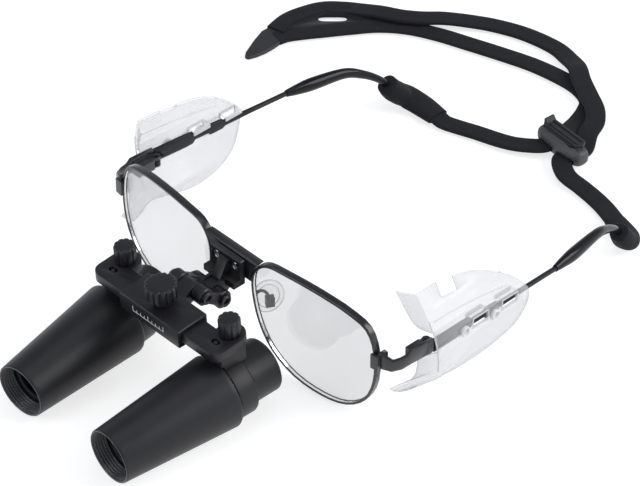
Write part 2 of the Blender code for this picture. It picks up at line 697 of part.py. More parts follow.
# Nose pads on their goose-neck wires
def nose_pad(root, side, word):
    route = ((2.3, 1.9, 19.4), (0.1, 2.4, 23.2), (-1.3, 3.0, 27.2), (-0.8, 3.8, 29.2), (0.6, 4.8, 29.9),
             (1.7, 5.8, 28.8), (2.2, 6.5, 26.4))
    points = smooth_path([(side * (NASAL_X + x * MM), y * MM, z * MM) for x, y, z in route], 2)
    wire = rounded(2 * PAD_WIRE_R, 2 * PAD_WIRE_R, count=8)
    arm = solid("pad_arm_" + word, loft(swept(points, [wire] * len(points))), root)
    box_at = Vector((side * (NASAL_X + 1.9 * MM), 7.0 * MM, 24.6 * MM))
    turn = (math.pi / 2, 0, side * 60 * DEG)
    box = solid("pad_box_" + word, block((-1.6 * MM, -2 * MM, -1.3 * MM), (1.6 * MM, 2 * MM, 1.3 * MM)), root, box_at, turn)
    join(arm, box)
    face = Vector((-side * math.sin(60 * DEG), math.cos(60 * DEG), 0))
    centre = box_at + face * (1.3 * MM + 0.5 * MM + PAD_THICK / 2)
    rock = pivot("pad_rock_" + word, root, centre)
    half = PAD_THICK / 2
    rings = []
    for grow, along in ((0.55, -half), (0.9, -0.7 * half), (1.0, 0), (0.9, 0.7 * half), (0.55, half)):
        ring = [(grow * a, along, grow * b) for a, b in rounded(PAD_WIDE, PAD_TALL, count=24)]
        rings.append(ring)
    solid("nose_pad_" + word, loft(rings), rock, rotation=(0, 0, side * 60 * DEG))


# Head strap
def strap(name, points, parent, steps=2):
    path = smooth_path([Vector(p) * MM for p in points], steps)
    return solid(name, loft(swept(path, [rounded(STRAP_WIDE, STRAP_THICK, 4, 8)] * len(path))), parent)


# Sleeves are measured from the temple and the hinge, the rest of the strap from the middle of the bridge
SLEEVE_RUNS = {
    "left": ((-13.5, 114.1, 6.4), (-14.3, 116.6, 4.1), (-16.8, 119.1, 3.0), (-21.0, 121.1, 2.3), (-27.2, 123.4, 2.2)),
    "right": ((-13.4, 115.2, 6.4), (-14.6, 118.0, 4.1), (-17.6, 119.4, 2.9), (-22.3, 119.9, 2.3), (-30.7, 119.4, 2.2)),
}
SLEEVE_SIZES = ((0.82, 6.2), (0.84, 6.2), (0.86, 5.6), (0.93, 4.6), (1.0, 3.4), (0.92, 3.4))
STRAND_RUNS = {
    "left": ((38.9, 153.0, 1.5), (32.0, 154.6, 1.4), (24.6, 155.5, 1.6), (16.0, 155.8, 2.6)),
    "right": ((-39.6, 146.0, 1.6), (-34.0, 148.0, 1.4), (-27.0, 150.6, 1.4), (-17.0, 153.4, 1.8), (-9.6, 156.0, 2.6)),
}
TAIL_OUTER = (
    (5.8, 179.2, 3.8), (2.0, 186.2, 3.9), (-4.0, 192.0, 3.9), (-11.6, 196.4, 3.9), (-20.4, 201.4, 3.9),
    (-27.2, 206.2, 3.6), (-34.6, 209.4, 2.0), (-44.6, 211.4, 1.4), (-58.7, 209.2, 1.4), (-71.1, 204.2, 1.5),
    (-80.0, 197.2, 2.6), (-86.0, 190.8, 3.8), (-91.5, 185.0, 3.9), (-98.0, 179.8, 3.9), (-106.5, 175.2, 3.8),
    (-113.4, 172.2, 2.6), (-119.8, 169.0, 1.6), (-125.8, 163.0, 1.4), (-128.6, 154.6, 1.4), (-128.4, 145.4, 1.4),
)
TAIL_INNER = (
    (-4.0, 178.0, 2.2), (-5.2, 183.9, 1.4), (-7.4, 190.6, 1.4), (-11.2, 196.2, 1.4), (-18.6, 199.0, 1.4),
    (-27.8, 199.2, 1.4), (-41.8, 197.2, 1.4), (-56.0, 193.0, 1.4), (-69.0, 188.6, 1.4), (-82.0, 184.0, 1.4),
    (-93.2, 178.4, 1.4), (-102.3, 170.8, 1.4), (-109.1, 161.5, 1.4), (-115.0, 152.6, 1.4), (-118.2, 147.2, 1.4),
)
TAB_OUTLINE = (
    (-131.8, 144.6), (-132.0, 136.0), (-129.5, 128.0), (-124.6, 118.6), (-122.6, 119.4), (-120.8, 126.0),
    (-119.4, 133.0), (-115.8, 144.6),
)


def sleeve_run(side, word):
    return [behind_hinge(side, point) for point in SLEEVE_RUNS[word]]


def sleeve(hinge, side, word):
    axis = Vector((side * HINGE_X, HINGE_Y, 0))
    path, wide = tip_stations(side)
    inside = path[SLEEVE_FROM:]
    room = 2 * FIT_GAP
    bore = swept([p - axis for p in inside], [rounded(0.84 * w + room, w + room) for w in wide[SLEEVE_FROM:]])
    bore[-1] = [p + (path[-1] - path[-2]).normalized() * FIT_GAP for p in bore[-1]]
    run = sleeve_run(side, word)
    outside = path[SLEEVE_FROM:-1] + run
    thick = 2 * (FIT_GAP + SLEEVE_WALL)
    sizes = [(0.72 * SLEEVE_WIDE, wide[SLEEVE_FROM] + thick)]
    sizes += [(share * SLEEVE_WIDE, tall * MM) for share, tall in SLEEVE_SIZES]
    outer = swept([p - axis for p in outside], [rounded(a, b, 2.6) for a, b in sizes])
    solid("strap_sleeve_" + word, loft(bore[::-1] + outer), hinge)


def cord_lock(root):
    centre = pivot("lock_centre", root, (LOCK_AT[0], LOCK_AT[1], LOCK_GROUND), (0, 0, LOCK_TURN))
    radius = LOCK_TALL / 2
    reach = LOCK_LONG / 2 - radius
    ends = circle(radius, 10, (reach, radius), -math.pi / 2, math.pi, True)
    ends += circle(radius, 10, (-reach, radius), math.pi / 2, math.pi, True)
    body = solid("lock_body", slab(ends, -LOCK_DEEP / 2, LOCK_DEEP / 2, "XZY"), centre)
    ease(body, 0.8 * MM)
    hole = (STRAP_WIDE / 2 + 4 * FIT_GAP, STRAP_THICK / 2 + FIT_GAP)
    for side, word in SIDES:
        x = side * LOCK_HOLE_X
        z = LOCK_HOLE_Z - LOCK_GROUND
        opening = block((x - hole[0], -LOCK_DEEP, z - hole[1]), (x + hole[0], LOCK_DEEP, z + hole[1]))
        cut(body, solid("lock_hole_" + word, opening, centre))
    half = (POCKET_LONG / 2, POCKET_WIDE / 2)
    pocket = block((-half[0], -half[1], POCKET_LOW), (half[0], half[1], 2 * LOCK_TALL))
    cut(body, solid("lock_pocket", pocket, centre))
    lock_button(centre, half)


def lock_button(centre, half):
    slide = pivot("button_slide", centre)
    stem_low = POCKET_LOW + 2 * FIT_GAP + BUTTON_TRAVEL + 2 * SPRING_WIRE_R
    plate_low = LOCK_TALL + BUTTON_TRAVEL + FIT_GAP
    stem = block((-half[0] + FIT_GAP, -half[1] + FIT_GAP, stem_low), (half[0] - FIT_GAP, half[1] - FIT_GAP, plate_low + 0.5 * MM))
    button = solid("lock_button", stem, slide)
    plate = block((-half[0] - 2 * MM, -half[1] - 1.2 * MM, plate_low), (half[0] + 2 * MM, half[1] + 1.2 * MM, plate_low + 1.4 * MM))
    join(button, solid("button_plate", plate, slide))
    low = POCKET_LOW + FIT_GAP / 2 + SPRING_WIRE_R
    high = stem_low - FIT_GAP / 2 - SPRING_WIRE_R
    count = 12 * SPRING_TURNS
    turns = [(2 * math.pi * SPRING_TURNS * i / count, low + (high - low) * i / count) for i in range(count + 1)]
    path = [Vector((SPRING_R * math.cos(t), SPRING_R * math.sin(t), z)) for t, z in turns]
    wire = rounded(2 * SPRING_WIRE_R, 2 * SPRING_WIRE_R, count=6)
    solid("lock_spring", loft(swept(path, [wire] * len(path))), centre)


def lock_hole_point(side, depth):
    """A point on the axis of a lock hole, in millimetres, at this depth behind the lock's middle."""
    x = side * LOCK_HOLE_X
    turn = Matrix.Rotation(LOCK_TURN, 3, "Z")
    return (Vector((LOCK_AT[0], LOCK_AT[1], LOCK_HOLE_Z)) + turn @ Vector((x, depth, 0))) / MM


def head_strap(root):
    face = LOCK_DEEP / 2
    for side, word in SIDES:
        before, last = sleeve_run(side, word)[-2:]
        start = last + (last - before).normalized() * SLEEVE_END_GAP
        ends = (lock_hole_point(side, -face - MM), lock_hole_point(side, -3 * FIT_GAP))
        strap("strap_strand_" + word, (start / MM,) + STRAND_RUNS[word] + ends, root)
    for side, name, run in ((1, "strap_tail_outer", TAIL_OUTER), (-1, "strap_tail_inner", TAIL_INNER)):
        ends = (lock_hole_point(side, 3 * FIT_GAP), lock_hole_point(side, face + MM))
        strap(name, ends + run, root)
    outline = [(x * MM, y * MM) for x, y in TAB_OUTLINE]
    tab = solid("strap_end_tab", slab(outline, 0.3 * MM, 2.7 * MM), root)
    ease(tab, 0.7 * MM)
    cord_lock(root)


# Bracket, link and pivot pins
def mount_bracket(root):
    low = (-PLATE_HALF, PLATE_FRONT, BASE_LOW)
    bracket = solid("mount_bracket", block(low, (PLATE_HALF, PLATE_BACK, PLATE_TOP)), root)
    ease(bracket, 0.4 * MM)
    base = block((-PLATE_HALF, BASE_FRONT, BASE_LOW), (PLATE_HALF, PLATE_BACK - 0.5 * MM, BASE_LOW + BASE_TALL))
    join(bracket, solid("bracket_base", base, root))
    eye = circle(REAR_EYE_R, 18, (REAR_PIVOT_Y, REAR_PIVOT_Z), math.pi / 2, math.pi, True)
    top = REAR_PIVOT_Z + REAR_EYE_R
    rear = PLATE_BACK - 0.8 * MM
    outline = eye + [(BASE_FRONT, REAR_PIVOT_Z - REAR_EYE_R), (rear, BASE_LOW + 0.4 * MM), (rear, top)]
    join(bracket, solid("bracket_tongue", slab(outline, -TONGUE_HALF, TONGUE_HALF, "YZX"), root))
    boss = MOUNT_SCREW_X - MOUNT_SCREW_HEAD_R - 3 * FIT_GAP
    slope = [(rear, MOUNT_SCREW_Z + 2.2 * MM), (PLATE_FRONT - 1.3 * MM, MOUNT_SCREW_Z + 1.4 * MM),
             (REAR_PIVOT_Y + 3.6 * MM, top - 0.3 * MM), (rear, top - 0.3 * MM)]
    join(bracket, solid("bracket_boss", slab(slope, -boss, boss, "YZX"), root))
    half = RECESS_SIDE / 2
    middle = REAR_PIVOT_Y + 1.2 * MM
    recess = block((-half, middle - half, top - RECESS_DEEP), (half, middle + half, top + 5 * MM))
    cut(bracket, solid("bracket_recess", recess, root))
    cut(bracket, rod("bracket_pin_hole", PIN_HOLE_R, -20 * MM, 20 * MM, "YZX", root, (0, REAR_PIVOT_Y, REAR_PIVOT_Z)))
    for step in (1.5 * MM, 2.8 * MM):
        groove = block((-20 * MM, PLATE_FRONT - MM, PLATE_TOP - step - 0.5 * MM), (20 * MM, PLATE_FRONT + 0.5 * MM, PLATE_TOP - step))
        cut(bracket, solid("bracket_groove_" + str(round(step / MM)), groove, root))
    for side, word in SIDES:
        mount_screw(root, bracket, side, word)


def mount_screw(root, bracket, side, word):
    at = (side * MOUNT_SCREW_X, 0, MOUNT_SCREW_Z)
    sink = PLATE_FRONT + 1.2 * MM
    cut(bracket, rod("screw_hole_" + word, MOUNT_SCREW_R + PIN_GAP, -20 * MM, 5 * MM, "XZY", root, at))
    cut(bracket, rod("screw_sink_" + word, MOUNT_SCREW_HEAD_R + PIN_GAP, -20 * MM, sink, "XZY", root, at))
    end = BRIDGE_BACK - FIT_GAP
    profile = [(MOUNT_SCREW_HEAD_R, PLATE_FRONT + 0.3 * MM), (MOUNT_SCREW_HEAD_R, sink - PIN_GAP),
               (MOUNT_SCREW_R, sink - PIN_GAP), (MOUNT_SCREW_R, end)]
    solid("bracket_screw_" + word, turned(profile, 16, "XZY"), root, at)


def pivot_pin(name, parent, location):
    face = LINK_HALF + RUN_GAP
    profile = [(PIN_HEAD_R, -face - PIN_HEAD_TALL), (PIN_HEAD_R, -face), (PIN_R, -face), (PIN_R, face),
               (PIN_HEAD_R, face), (PIN_HEAD_R, face + PIN_HEAD_TALL)]
    return solid(name, turned(profile, FINE, "YZX"), parent, location)


def hinge_link(pivot_b):
    """A fork of two side plates with a web, in the frame of the rear pivot."""
    front = (-PIVOT_STEP_Y, PIVOT_STEP_Z)
    outline = two_eyes((0, 0), REAR_EYE_R, front, FRONT_EYE_R, LINK_WAIST)
    inner = TONGUE_HALF + FIT_GAP
    link = solid("hinge_link", slab(outline, inner, LINK_HALF, "YZX"), pivot_b)
    ease(link, 0.5 * MM)
    gap = math.hypot(*front)
    lean = math.atan2(front[1], front[0])
    web = block((-LINK_HALF + 0.6 * MM, REAR_EYE_R + FIT_GAP, -WEB_HALF_TALL),
                (LINK_HALF - 0.6 * MM, gap - FRONT_EYE_R + 0.2 * MM, WEB_HALF_TALL))
    web_item = solid("link_web", web, pivot_b, rotation=(lean, 0, 0))
    other = solid("link_right_cheek", slab(outline, -LINK_HALF, -inner, "YZX"), pivot_b)
    ease(other, 0.5 * MM)
    join(link, web_item)
    join(link, other)
    for name, at in (("link_hole_rear", (0, 0, 0)), ("link_hole_front", (0,) + front)):
        cut(link, rod(name, PIN_HOLE_R, -20 * MM, 20 * MM, "YZX", pivot_b, at))
    pivot_pin("front_pivot_pin", pivot_b, (0,) + front)


# Slide block, cover and centre knob
def slide_block(carrier):
    bar = solid("slide_block", block((-BLOCK_HALF, BLOCK_FRONT, BLOCK_LOW), (BLOCK_HALF, BLOCK_REAR, BLOCK_TOP)), carrier)
    ease(bar, 0.35 * MM)
    eye = circle(FRONT_EYE_R - 0.5 * MM, 14, (0, 0), -math.pi / 2, math.pi, True)
    outline = eye + [(BLOCK_REAR - BLOCK_WALL / 2, BLOCK_TOP - 0.5 * MM), (BLOCK_REAR - BLOCK_WALL / 2, BLOCK_LOW + 1.5 * MM)]
    join(bar, solid("block_tongue", slab(outline, -TONGUE_HALF, TONGUE_HALF, "YZX"), carrier))
    channel = block((-30 * MM, CHANNEL_FRONT, BLOCK_LOW - MM), (30 * MM, CHANNEL_REAR, ARM_TOP + RUN_GAP))
    cut(bar, solid("block_channel", channel, carrier))
    cut(bar, rod("block_pin_hole", PIN_HOLE_R, -20 * MM, 20 * MM, "YZX", carrier))
    cut(bar, rod("block_shaft_hole", PD_SHAFT_R + FIT_GAP, -3 * MM, 8 * MM, "XYZ", carrier, (0, GEAR_Y, 0)))
    low = (-BLOCK_HALF + RUN_GAP, CHANNEL_FRONT + RUN_GAP, BLOCK_LOW)
    high = (BLOCK_HALF - RUN_GAP, CHANNEL_REAR - RUN_GAP, min(BLOCK_LOW + COVER_THICK, ARM_LOW - RUN_GAP))
    solid("slide_cover", block(low, high), carrier)


def fluted(radius, flutes, count):
    points = []
    for i, (x, y) in enumerate(circle(radius, count)):
        wave = abs(math.sin(flutes * math.pi * i / count))
        shrink = 1 - FLUTE_DEPTH * (1 - wave) ** 1.5
        points.append((x * shrink, y * shrink))
    return points


def knob(name, parent, stem, radius, low, tall, flutes):
    """Round stem rings from the bottom up, then a fluted skirt with an eased top."""
    count = 6 * flutes
    skirt = fluted(radius, flutes, count)
    top = [(x * (1 - KNOB_EASE / radius), y * (1 - KNOB_EASE / radius)) for x, y in skirt]
    levels = [(circle(r, count), z) for r, z in stem]
    levels += [(top, low), (skirt, low + KNOB_EASE / 2), (skirt, low + tall - KNOB_EASE), (top, low + tall)]
    return solid(name, loft([[(x, y, z) for x, y in outline] for outline, z in levels]), parent)


def pd_drive(axis):
    gear_top = ARM_TOP - RUN_GAP
    spindle = GEAR_BORE_R - PIN_GAP
    stem = [(spindle, ARM_LOW), (spindle, gear_top + RUN_GAP), (PD_SHAFT_R, gear_top + RUN_GAP),
            (PD_SHAFT_R, BLOCK_TOP + FIT_GAP), (PD_NECK_R, BLOCK_TOP + FIT_GAP), (PD_NECK_R, PD_KNOB_LOW)]
    knob("pd_knob", axis, stem, PD_KNOB_R, PD_KNOB_LOW, PD_KNOB_TALL, PD_FLUTES)
    pitch = 2 * math.pi / TEETH
    outline = []
    for i in range(TEETH):
        for share, radius in ((-0.3, GEAR_R - GEAR_ROOT), (-0.14, GEAR_R + GEAR_TIP),
                              (0.14, GEAR_R + GEAR_TIP), (0.3, GEAR_R - GEAR_ROOT)):
            angle = (i + share) * pitch
            outline.append((radius * math.cos(angle), radius * math.sin(angle)))
    gear = solid("pd_pinion", slab(outline, ARM_LOW + RUN_GAP, gear_top), axis)
    cut(gear, rod("pinion_bore", GEAR_BORE_R, -20 * MM, 20 * MM, "XYZ", axis))


# Arms with racks
def rack_points(start, end):
    """Rack teeth from one x to the other, with a gap on the centre line: (x, height over the pitch line)."""
    pitch = 2 * math.pi * GEAR_R / TEETH
    points = []
    first = math.ceil(start / pitch - 0.2)
    last = math.floor(end / pitch - 0.8)
    for k in range(first, last + 1):
        middle = (k + 0.5) * pitch
        for off, height in ((-0.29, -RACK_ROOT), (-0.13, RACK_TIP), (0.13, RACK_TIP), (0.29, -RACK_ROOT)):
            points.append((middle + off * pitch, height))
    return points


def arm_outline(front_rack):
    """Seen from above for the left arm: a plate with a round lobe at the knob and a toothed tongue at its inner end."""
    front = CHANNEL_FRONT + RUN_GAP
    rear = CHANNEL_REAR - RUN_GAP
    corner = circle(ARM_CORNER, 6, (ARM_END - ARM_CORNER, front + ARM_CORNER), -math.pi / 2, math.pi / 2, True)
    rise = math.asin(min(0.95, (rear - ARM_KNOB_Y) / ARM_LOBE_R))
    lobe = circle(ARM_LOBE_R, 14, (ARM_KNOB_X, ARM_KNOB_Y), 0, math.pi - rise, True)
    teeth = rack_points(-TONGUE_PAST, ARM_WIDE_FROM)
    if front_rack:
        line = GEAR_Y - GEAR_R
        rack = [(x, line + h) for x, h in reversed(teeth)]
        root = line - RACK_ROOT
        tongue = [(ARM_WIDE_FROM, root)] + rack + [(-TONGUE_PAST, root), (-TONGUE_PAST, front)]
        return corner + lobe + [(ARM_WIDE_FROM, rear)] + tongue
    line = GEAR_Y + GEAR_R
    rack = [(x, line - h) for x, h in teeth]
    root = line + RACK_ROOT
    tongue = [(-TONGUE_PAST, rear), (-TONGUE_PAST, root)] + rack + [(ARM_WIDE_FROM, root)]
    return corner + lobe + tongue + [(ARM_WIDE_FROM, front)]


def guide_slot(side):
    """A short curved slot round the knob axis, for the foot's guide pin."""
    half = GUIDE_PIN_R + FIT_GAP
    middle = -math.pi / 2 - side * BARREL_TURN
    outer = circle(GUIDE_R + half, 7, (0, 0), middle - GUIDE_HALF_TURN, 2 * GUIDE_HALF_TURN, True)
    inner = circle(GUIDE_R - half, 7, (0, 0), middle + GUIDE_HALF_TURN, -2 * GUIDE_HALF_TURN, True)
    ends = []
    for turn in (middle + GUIDE_HALF_TURN, middle - GUIDE_HALF_TURN):
        centre = (GUIDE_R * math.cos(turn), GUIDE_R * math.sin(turn))
        start = turn if turn > middle else turn + math.pi
        ends.append(circle(half, 7, centre, start, math.pi, True)[1:-1])
    return outer + ends[0] + inner + ends[1]


def slide_arm(arm, side, word):
    outline = [(side * x, y) for x, y in arm_outline(side > 0)]
    plate = solid("slide_arm_" + word, slab(outline, ARM_LOW, ARM_TOP), arm)
    at = (side * ARM_KNOB_X, ARM_KNOB_Y, 0)
    cut(plate, rod("arm_hole_" + word, ARM_KNOB_STEM_R + FIT_GAP, -20 * MM, 20 * MM, "XYZ", arm, at))
    cut(plate, solid("arm_slot_" + word, slab(guide_slot(side), -20 * MM, 20 * MM), arm, at))


def arm_knob(axis, word):
    stem = [(ARM_KNOB_STEM_R, ARM_LOW - STEM_DEPTH), (ARM_KNOB_STEM_R, ARM_TOP + FIT_GAP)]
    knob("arm_knob_" + word, axis, stem, ARM_KNOB_R, ARM_TOP + FIT_GAP, ARM_KNOB_TALL, ARM_FLUTES)


# Barrels, in a frame on the knob axis with the optical axis along Y
def barrel_shell(barrel, word):
    grow = (SHOULDER_R - FRONT_R) / SHOULDER_AT
    end = SHOULDER_AT + SHOULDER_EASE
    outer = [(FRONT_R - 0.25 * MM, 0), (FRONT_R + grow * 0.3 * MM, 0.3 * MM), (SHOULDER_R, SHOULDER_AT),
             (SHOULDER_R - 0.35 * SHOULDER_EASE, SHOULDER_AT + 0.75 * SHOULDER_EASE), (SHOULDER_R - SHOULDER_EASE, end)]
    inner = [(FRONT_BORE_R, 0)]
    for i in range(THREADS):
        start = 0.6 * MM + i * THREAD_PITCH
        inner += [(FRONT_BORE_R, start), (FRONT_BORE_R - THREAD_DEPTH, start + THREAD_PITCH / 2)]
    inner += [(FRONT_BORE_R, SEAT_FROM), (SEAT_R, SEAT_FROM), (SEAT_R, SEAT_TO), (SEAT_R - SEAT_LIP, SEAT_TO),
              (SEAT_R - SEAT_LIP, SEAT_TO + SEAT_LIP), (REAR_BORE_R - 0.5 * MM, end - SPIGOT_LONG - FIT_GAP),
              (REAR_BORE_R, end - SPIGOT_LONG - FIT_GAP), (REAR_BORE_R, end)]
    profile = [(r, s - KNOB_FROM_FRONT) for r, s in outer + inner[::-1]]
    solid("barrel_body_" + word, turned(profile, AROUND, "XZY", closed=True), barrel)


def eyepiece(barrel, word):
    joint = SHOULDER_AT + SHOULDER_EASE + FIT_GAP
    collar = joint + COLLAR_LONG
    spigot = REAR_BORE_R - FIT_GAP
    soft = 0.3 * EYEPIECE_EASE
    outer = [(spigot, joint - SPIGOT_LONG), (spigot, joint), (COLLAR_R - 0.5 * MM, joint), (COLLAR_R, joint + 0.5 * MM),
             (COLLAR_R, collar - 0.9 * MM), (COLLAR_R - 0.9 * MM, collar), (EYEPIECE_R, collar),
             (EYEPIECE_R, BARREL_LONG - EYEPIECE_EASE), (EYEPIECE_R - soft, BARREL_LONG - soft),
             (EYEPIECE_R - EYEPIECE_EASE, BARREL_LONG)]
    inner = [(EYE_BORE_R, joint - SPIGOT_LONG), (EYE_BORE_R, BARREL_LONG - EYE_LIP),
             (EYE_HOLE_R, BARREL_LONG - EYE_LIP), (EYE_HOLE_R, BARREL_LONG)]
    profile = [(r, s - KNOB_FROM_FRONT) for r, s in outer + inner[::-1]]
    solid("eyepiece_housing_" + word, turned(profile, AROUND, "XZY", closed=True), barrel)


def lens_disc(name, barrel, radius, start, edge, bulge):
    start -= KNOB_FROM_FRONT
    profile = [(0.4 * radius, start - 0.84 * bulge), (0.75 * radius, start - 0.44 * bulge), (radius, start),
               (radius, start + edge), (0.6 * radius, start + edge + 0.5 * bulge)]
    solid(name, turned(profile, 24, "XZY"), barrel)


def optics(barrel, word):
    ring_from = SEAT_FROM + RUN_GAP - KNOB_FROM_FRONT
    outer = SEAT_R - PIN_GAP
    ring = [(outer, ring_from), (outer, ring_from + MM), (outer - 1.1 * MM, ring_from + MM), (outer - 1.1 * MM, ring_from)]
    solid("objective_ring_" + word, turned(ring, 24, "XZY", closed=True), barrel)
    lens_disc("objective_lens_" + word, barrel, outer, SEAT_FROM + 1.6 * MM, 3.4 * MM, 1.0 * MM)
    eye_from = BARREL_LONG - EYE_LIP - 3.2 * MM
    lens_disc("eyepiece_lens_" + word, barrel, EYE_BORE_R - FIT_GAP, eye_from, 2.4 * MM, 1.2 * MM)
    cone_from = SEAT_TO + SEAT_LIP
    share = (PRISM_FROM - cone_from) / (SHOULDER_AT - SPIGOT_LONG - cone_from)
    room = SEAT_R - SEAT_LIP + share * (REAR_BORE_R - 0.5 * MM - SEAT_R + SEAT_LIP) - 2 * FIT_GAP
    start = PRISM_FROM - KNOB_FROM_FRONT
    outline = [(x, z) for x, z in circle(room, 4, start=math.pi / 4)]
    solid("prism_" + word, slab(outline, start, start + PRISM_LONG, "XZY"), barrel)


def barrel_foot(barrel, word):
    top = AXIS_DROP + ARM_LOW - FIT_GAP
    low = COLLAR_R * 0.86
    foot = solid("barrel_foot_" + word, block((-FOOT_HALF, FOOT_FRONT, low), (FOOT_HALF, FOOT_REAR, top)), barrel)
    ease(foot, 0.5 * MM)
    saddle = COLLAR_R + FIT_GAP
    cut(foot, rod("foot_saddle_" + word, saddle, -30 * MM, 30 * MM, "XZY", barrel, count=AROUND))
    shoulder = SHOULDER_AT + SHOULDER_EASE + FIT_GAP - KNOB_FROM_FRONT
    cut(foot, rod("foot_front_" + word, SHOULDER_R + FIT_GAP, -30 * MM, shoulder, "XZY", barrel, count=AROUND))
    stem_low = top + FIT_GAP - STEM_DEPTH - FIT_GAP
    cut(foot, rod("foot_hole_" + word, ARM_KNOB_STEM_R + FIT_GAP, stem_low, top + MM, "XYZ", barrel))
    pin_top = AXIS_DROP + ARM_TOP - FIT_GAP
    join(foot, rod("foot_pin_" + word, GUIDE_PIN_R, top - MM, pin_top, "XYZ", barrel, (0, -GUIDE_R, 0), 12))


def loupe_side(carrier, side, word):
    arm = pivot("arm_slide_" + word, carrier)
    slide_arm(arm, side, word)
    at = Vector((side * ARM_KNOB_X, ARM_KNOB_Y, 0))
    arm_knob(pivot("arm_knob_axis_" + word, arm, at), word)
    below = at - Vector((0, 0, AXIS_DROP))
    barrel = pivot("barrel_swivel_" + word, arm, below, (0, 0, -side * BARREL_TURN))
    barrel_foot(barrel, word)
    barrel_shell(barrel, word)
    eyepiece(barrel, word)
    optics(barrel, word)


def middle_of_base(root):
    """Moves the root so that the rigid part stands on z = 0 with the middle of its box over the origin."""
    bpy.context.view_layer.update()
    front = min((bpy.data.objects["barrel_body_left"].matrix_world @ v.co).y
                for v in bpy.data.objects["barrel_body_left"].data.vertices)
    back = max((bpy.data.objects["temple_tip_left"].matrix_world @ v.co).y
               for v in bpy.data.objects["temple_tip_left"].data.vertices)
    low = min((bpy.data.objects["barrel_body_left"].matrix_world @ v.co).z
              for v in bpy.data.objects["barrel_body_left"].data.vertices)
    root.location = (0, -(front + back) / 2, -low)


def main():
    clear_scene()
    root = pivot("loupes")
    planes = {word: rim_pivot(root, side, word) for side, word in SIDES}
    bridge(root, planes)
    for side, word in SIDES:
        rim_and_lens(planes[word], side, word)
        end_piece(root, planes[word], side, word)
        nose_pad(root, side, word)
        hinge = pivot("temple_fold_" + word, root, (side * HINGE_X, HINGE_Y, 0))
        temple(hinge, side, word)
        temple_tip(hinge, side, word)
        shield(hinge, side, word)
        sleeve(hinge, side, word)
    head_strap(root)
    mount_bracket(root)
    pivot_pin("rear_pivot_pin", root, (0, REAR_PIVOT_Y, REAR_PIVOT_Z))
    link = pivot("link_hinge", root, (0, REAR_PIVOT_Y, REAR_PIVOT_Z))
    hinge_link(link)
    carrier = pivot("carrier_hinge", link, (0, -PIVOT_STEP_Y, PIVOT_STEP_Z), (MOUNT_TILT, 0, 0))
    slide_block(carrier)
    pd_drive(pivot("pd_axis", carrier, (0, GEAR_Y, 0)))
    for side, word in SIDES:
        loupe_side(carrier, side, word)
    middle_of_base(root)


main()
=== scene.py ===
"""Flip-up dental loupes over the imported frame: fuller pieces, finishes, camera, light and floor."""

import math

import bmesh
import bpy
from mathutils import Matrix, Vector

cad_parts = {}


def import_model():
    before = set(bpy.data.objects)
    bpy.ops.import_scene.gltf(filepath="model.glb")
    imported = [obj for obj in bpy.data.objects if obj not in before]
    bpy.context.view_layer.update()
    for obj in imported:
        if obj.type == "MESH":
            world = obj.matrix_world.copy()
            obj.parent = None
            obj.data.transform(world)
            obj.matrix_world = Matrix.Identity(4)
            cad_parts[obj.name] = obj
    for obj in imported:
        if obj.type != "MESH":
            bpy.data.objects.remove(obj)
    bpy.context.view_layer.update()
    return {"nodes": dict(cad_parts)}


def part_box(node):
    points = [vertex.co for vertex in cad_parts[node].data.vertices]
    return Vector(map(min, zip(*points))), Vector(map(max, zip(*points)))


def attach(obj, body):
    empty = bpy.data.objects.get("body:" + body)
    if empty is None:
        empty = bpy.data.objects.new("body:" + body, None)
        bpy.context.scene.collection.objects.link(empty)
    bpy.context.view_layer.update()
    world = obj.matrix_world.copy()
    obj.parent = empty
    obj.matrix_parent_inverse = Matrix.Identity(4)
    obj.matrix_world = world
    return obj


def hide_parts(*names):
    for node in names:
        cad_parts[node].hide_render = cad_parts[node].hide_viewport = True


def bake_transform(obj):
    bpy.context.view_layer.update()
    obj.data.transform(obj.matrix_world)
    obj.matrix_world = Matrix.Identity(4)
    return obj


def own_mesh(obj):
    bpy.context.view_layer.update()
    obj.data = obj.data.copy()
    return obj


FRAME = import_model()

MM = 0.001
DEG = math.pi / 180.0
SIDES = ((1, "left"), (-1, "right"))
QUARTER = (0.0, 0.4, 0.8, 1.2, math.pi / 2)
FIT_GAP = 0.3 * MM

# Camera: where it looks, from which side, how far and how long a lens
CAMERA_TARGET = (-20.9 * MM, 62.1 * MM, 0.0)
CAMERA_AZIMUTH = 46.69 * DEG
CAMERA_ELEVATION = 39.38 * DEG
CAMERA_DISTANCE = 1.681
CAMERA_REACH = 20.0
CAMERA_LENS = 253.2
SENSOR_WIDE = 36.0

# Lamps by name, place, size and power, then the sky and the floor
LAMPS = (
    ("right", (1.0, 0.85, 0.9), 1.0, 16),
    ("front", (-0.4, -1.3, 0.9), 0.8, 6),
    ("top", (0.0, 0.1, 1.6), 1.0, 4),
)
LAMP_AIM = (0.0, 0.05, 0.02)
HORIZON = (0.86, 0.89, 0.95)
ZENITH = (0.22, 0.23, 0.26)
SKY_RISE = (0.05, 0.85)
FLOOR_HALF = 6.0
FLOOR_DROP = 0.3 * MM
FLOOR_TONES = ((0.5, 0.5, 0.5), (0.51, 0.51, 0.51))
FLOOR_PATCHES = (8.0, 2.0)
FLOOR_GLOW = 0.70

# Patterns in the finishes: scale and detail of each noise, and strength and depth of each relief
PATCHES = (90.0, 4.0)
GRAIN_SCALE = 2600.0
GRAIN_DETAIL = 3.0
GRAIN_DEPTH = 0.02 * MM
RELIEF = 0.5
FUZZ = (700.0, 5.0)
WEAVE_DEPTH = 0.05 * MM
WEBBING_ROUGH = (0.75, 0.95)
HAZE = (60.0, 3.0)
RIPPLES = (400.0, 2.0)
RIPPLE_RELIEF = 0.03
RIPPLE_DEPTH = 0.03 * MM
STREAKS = (45.0, 2.0)
GLASS_DIM = 0.97
MAP_AROUND = 0.02

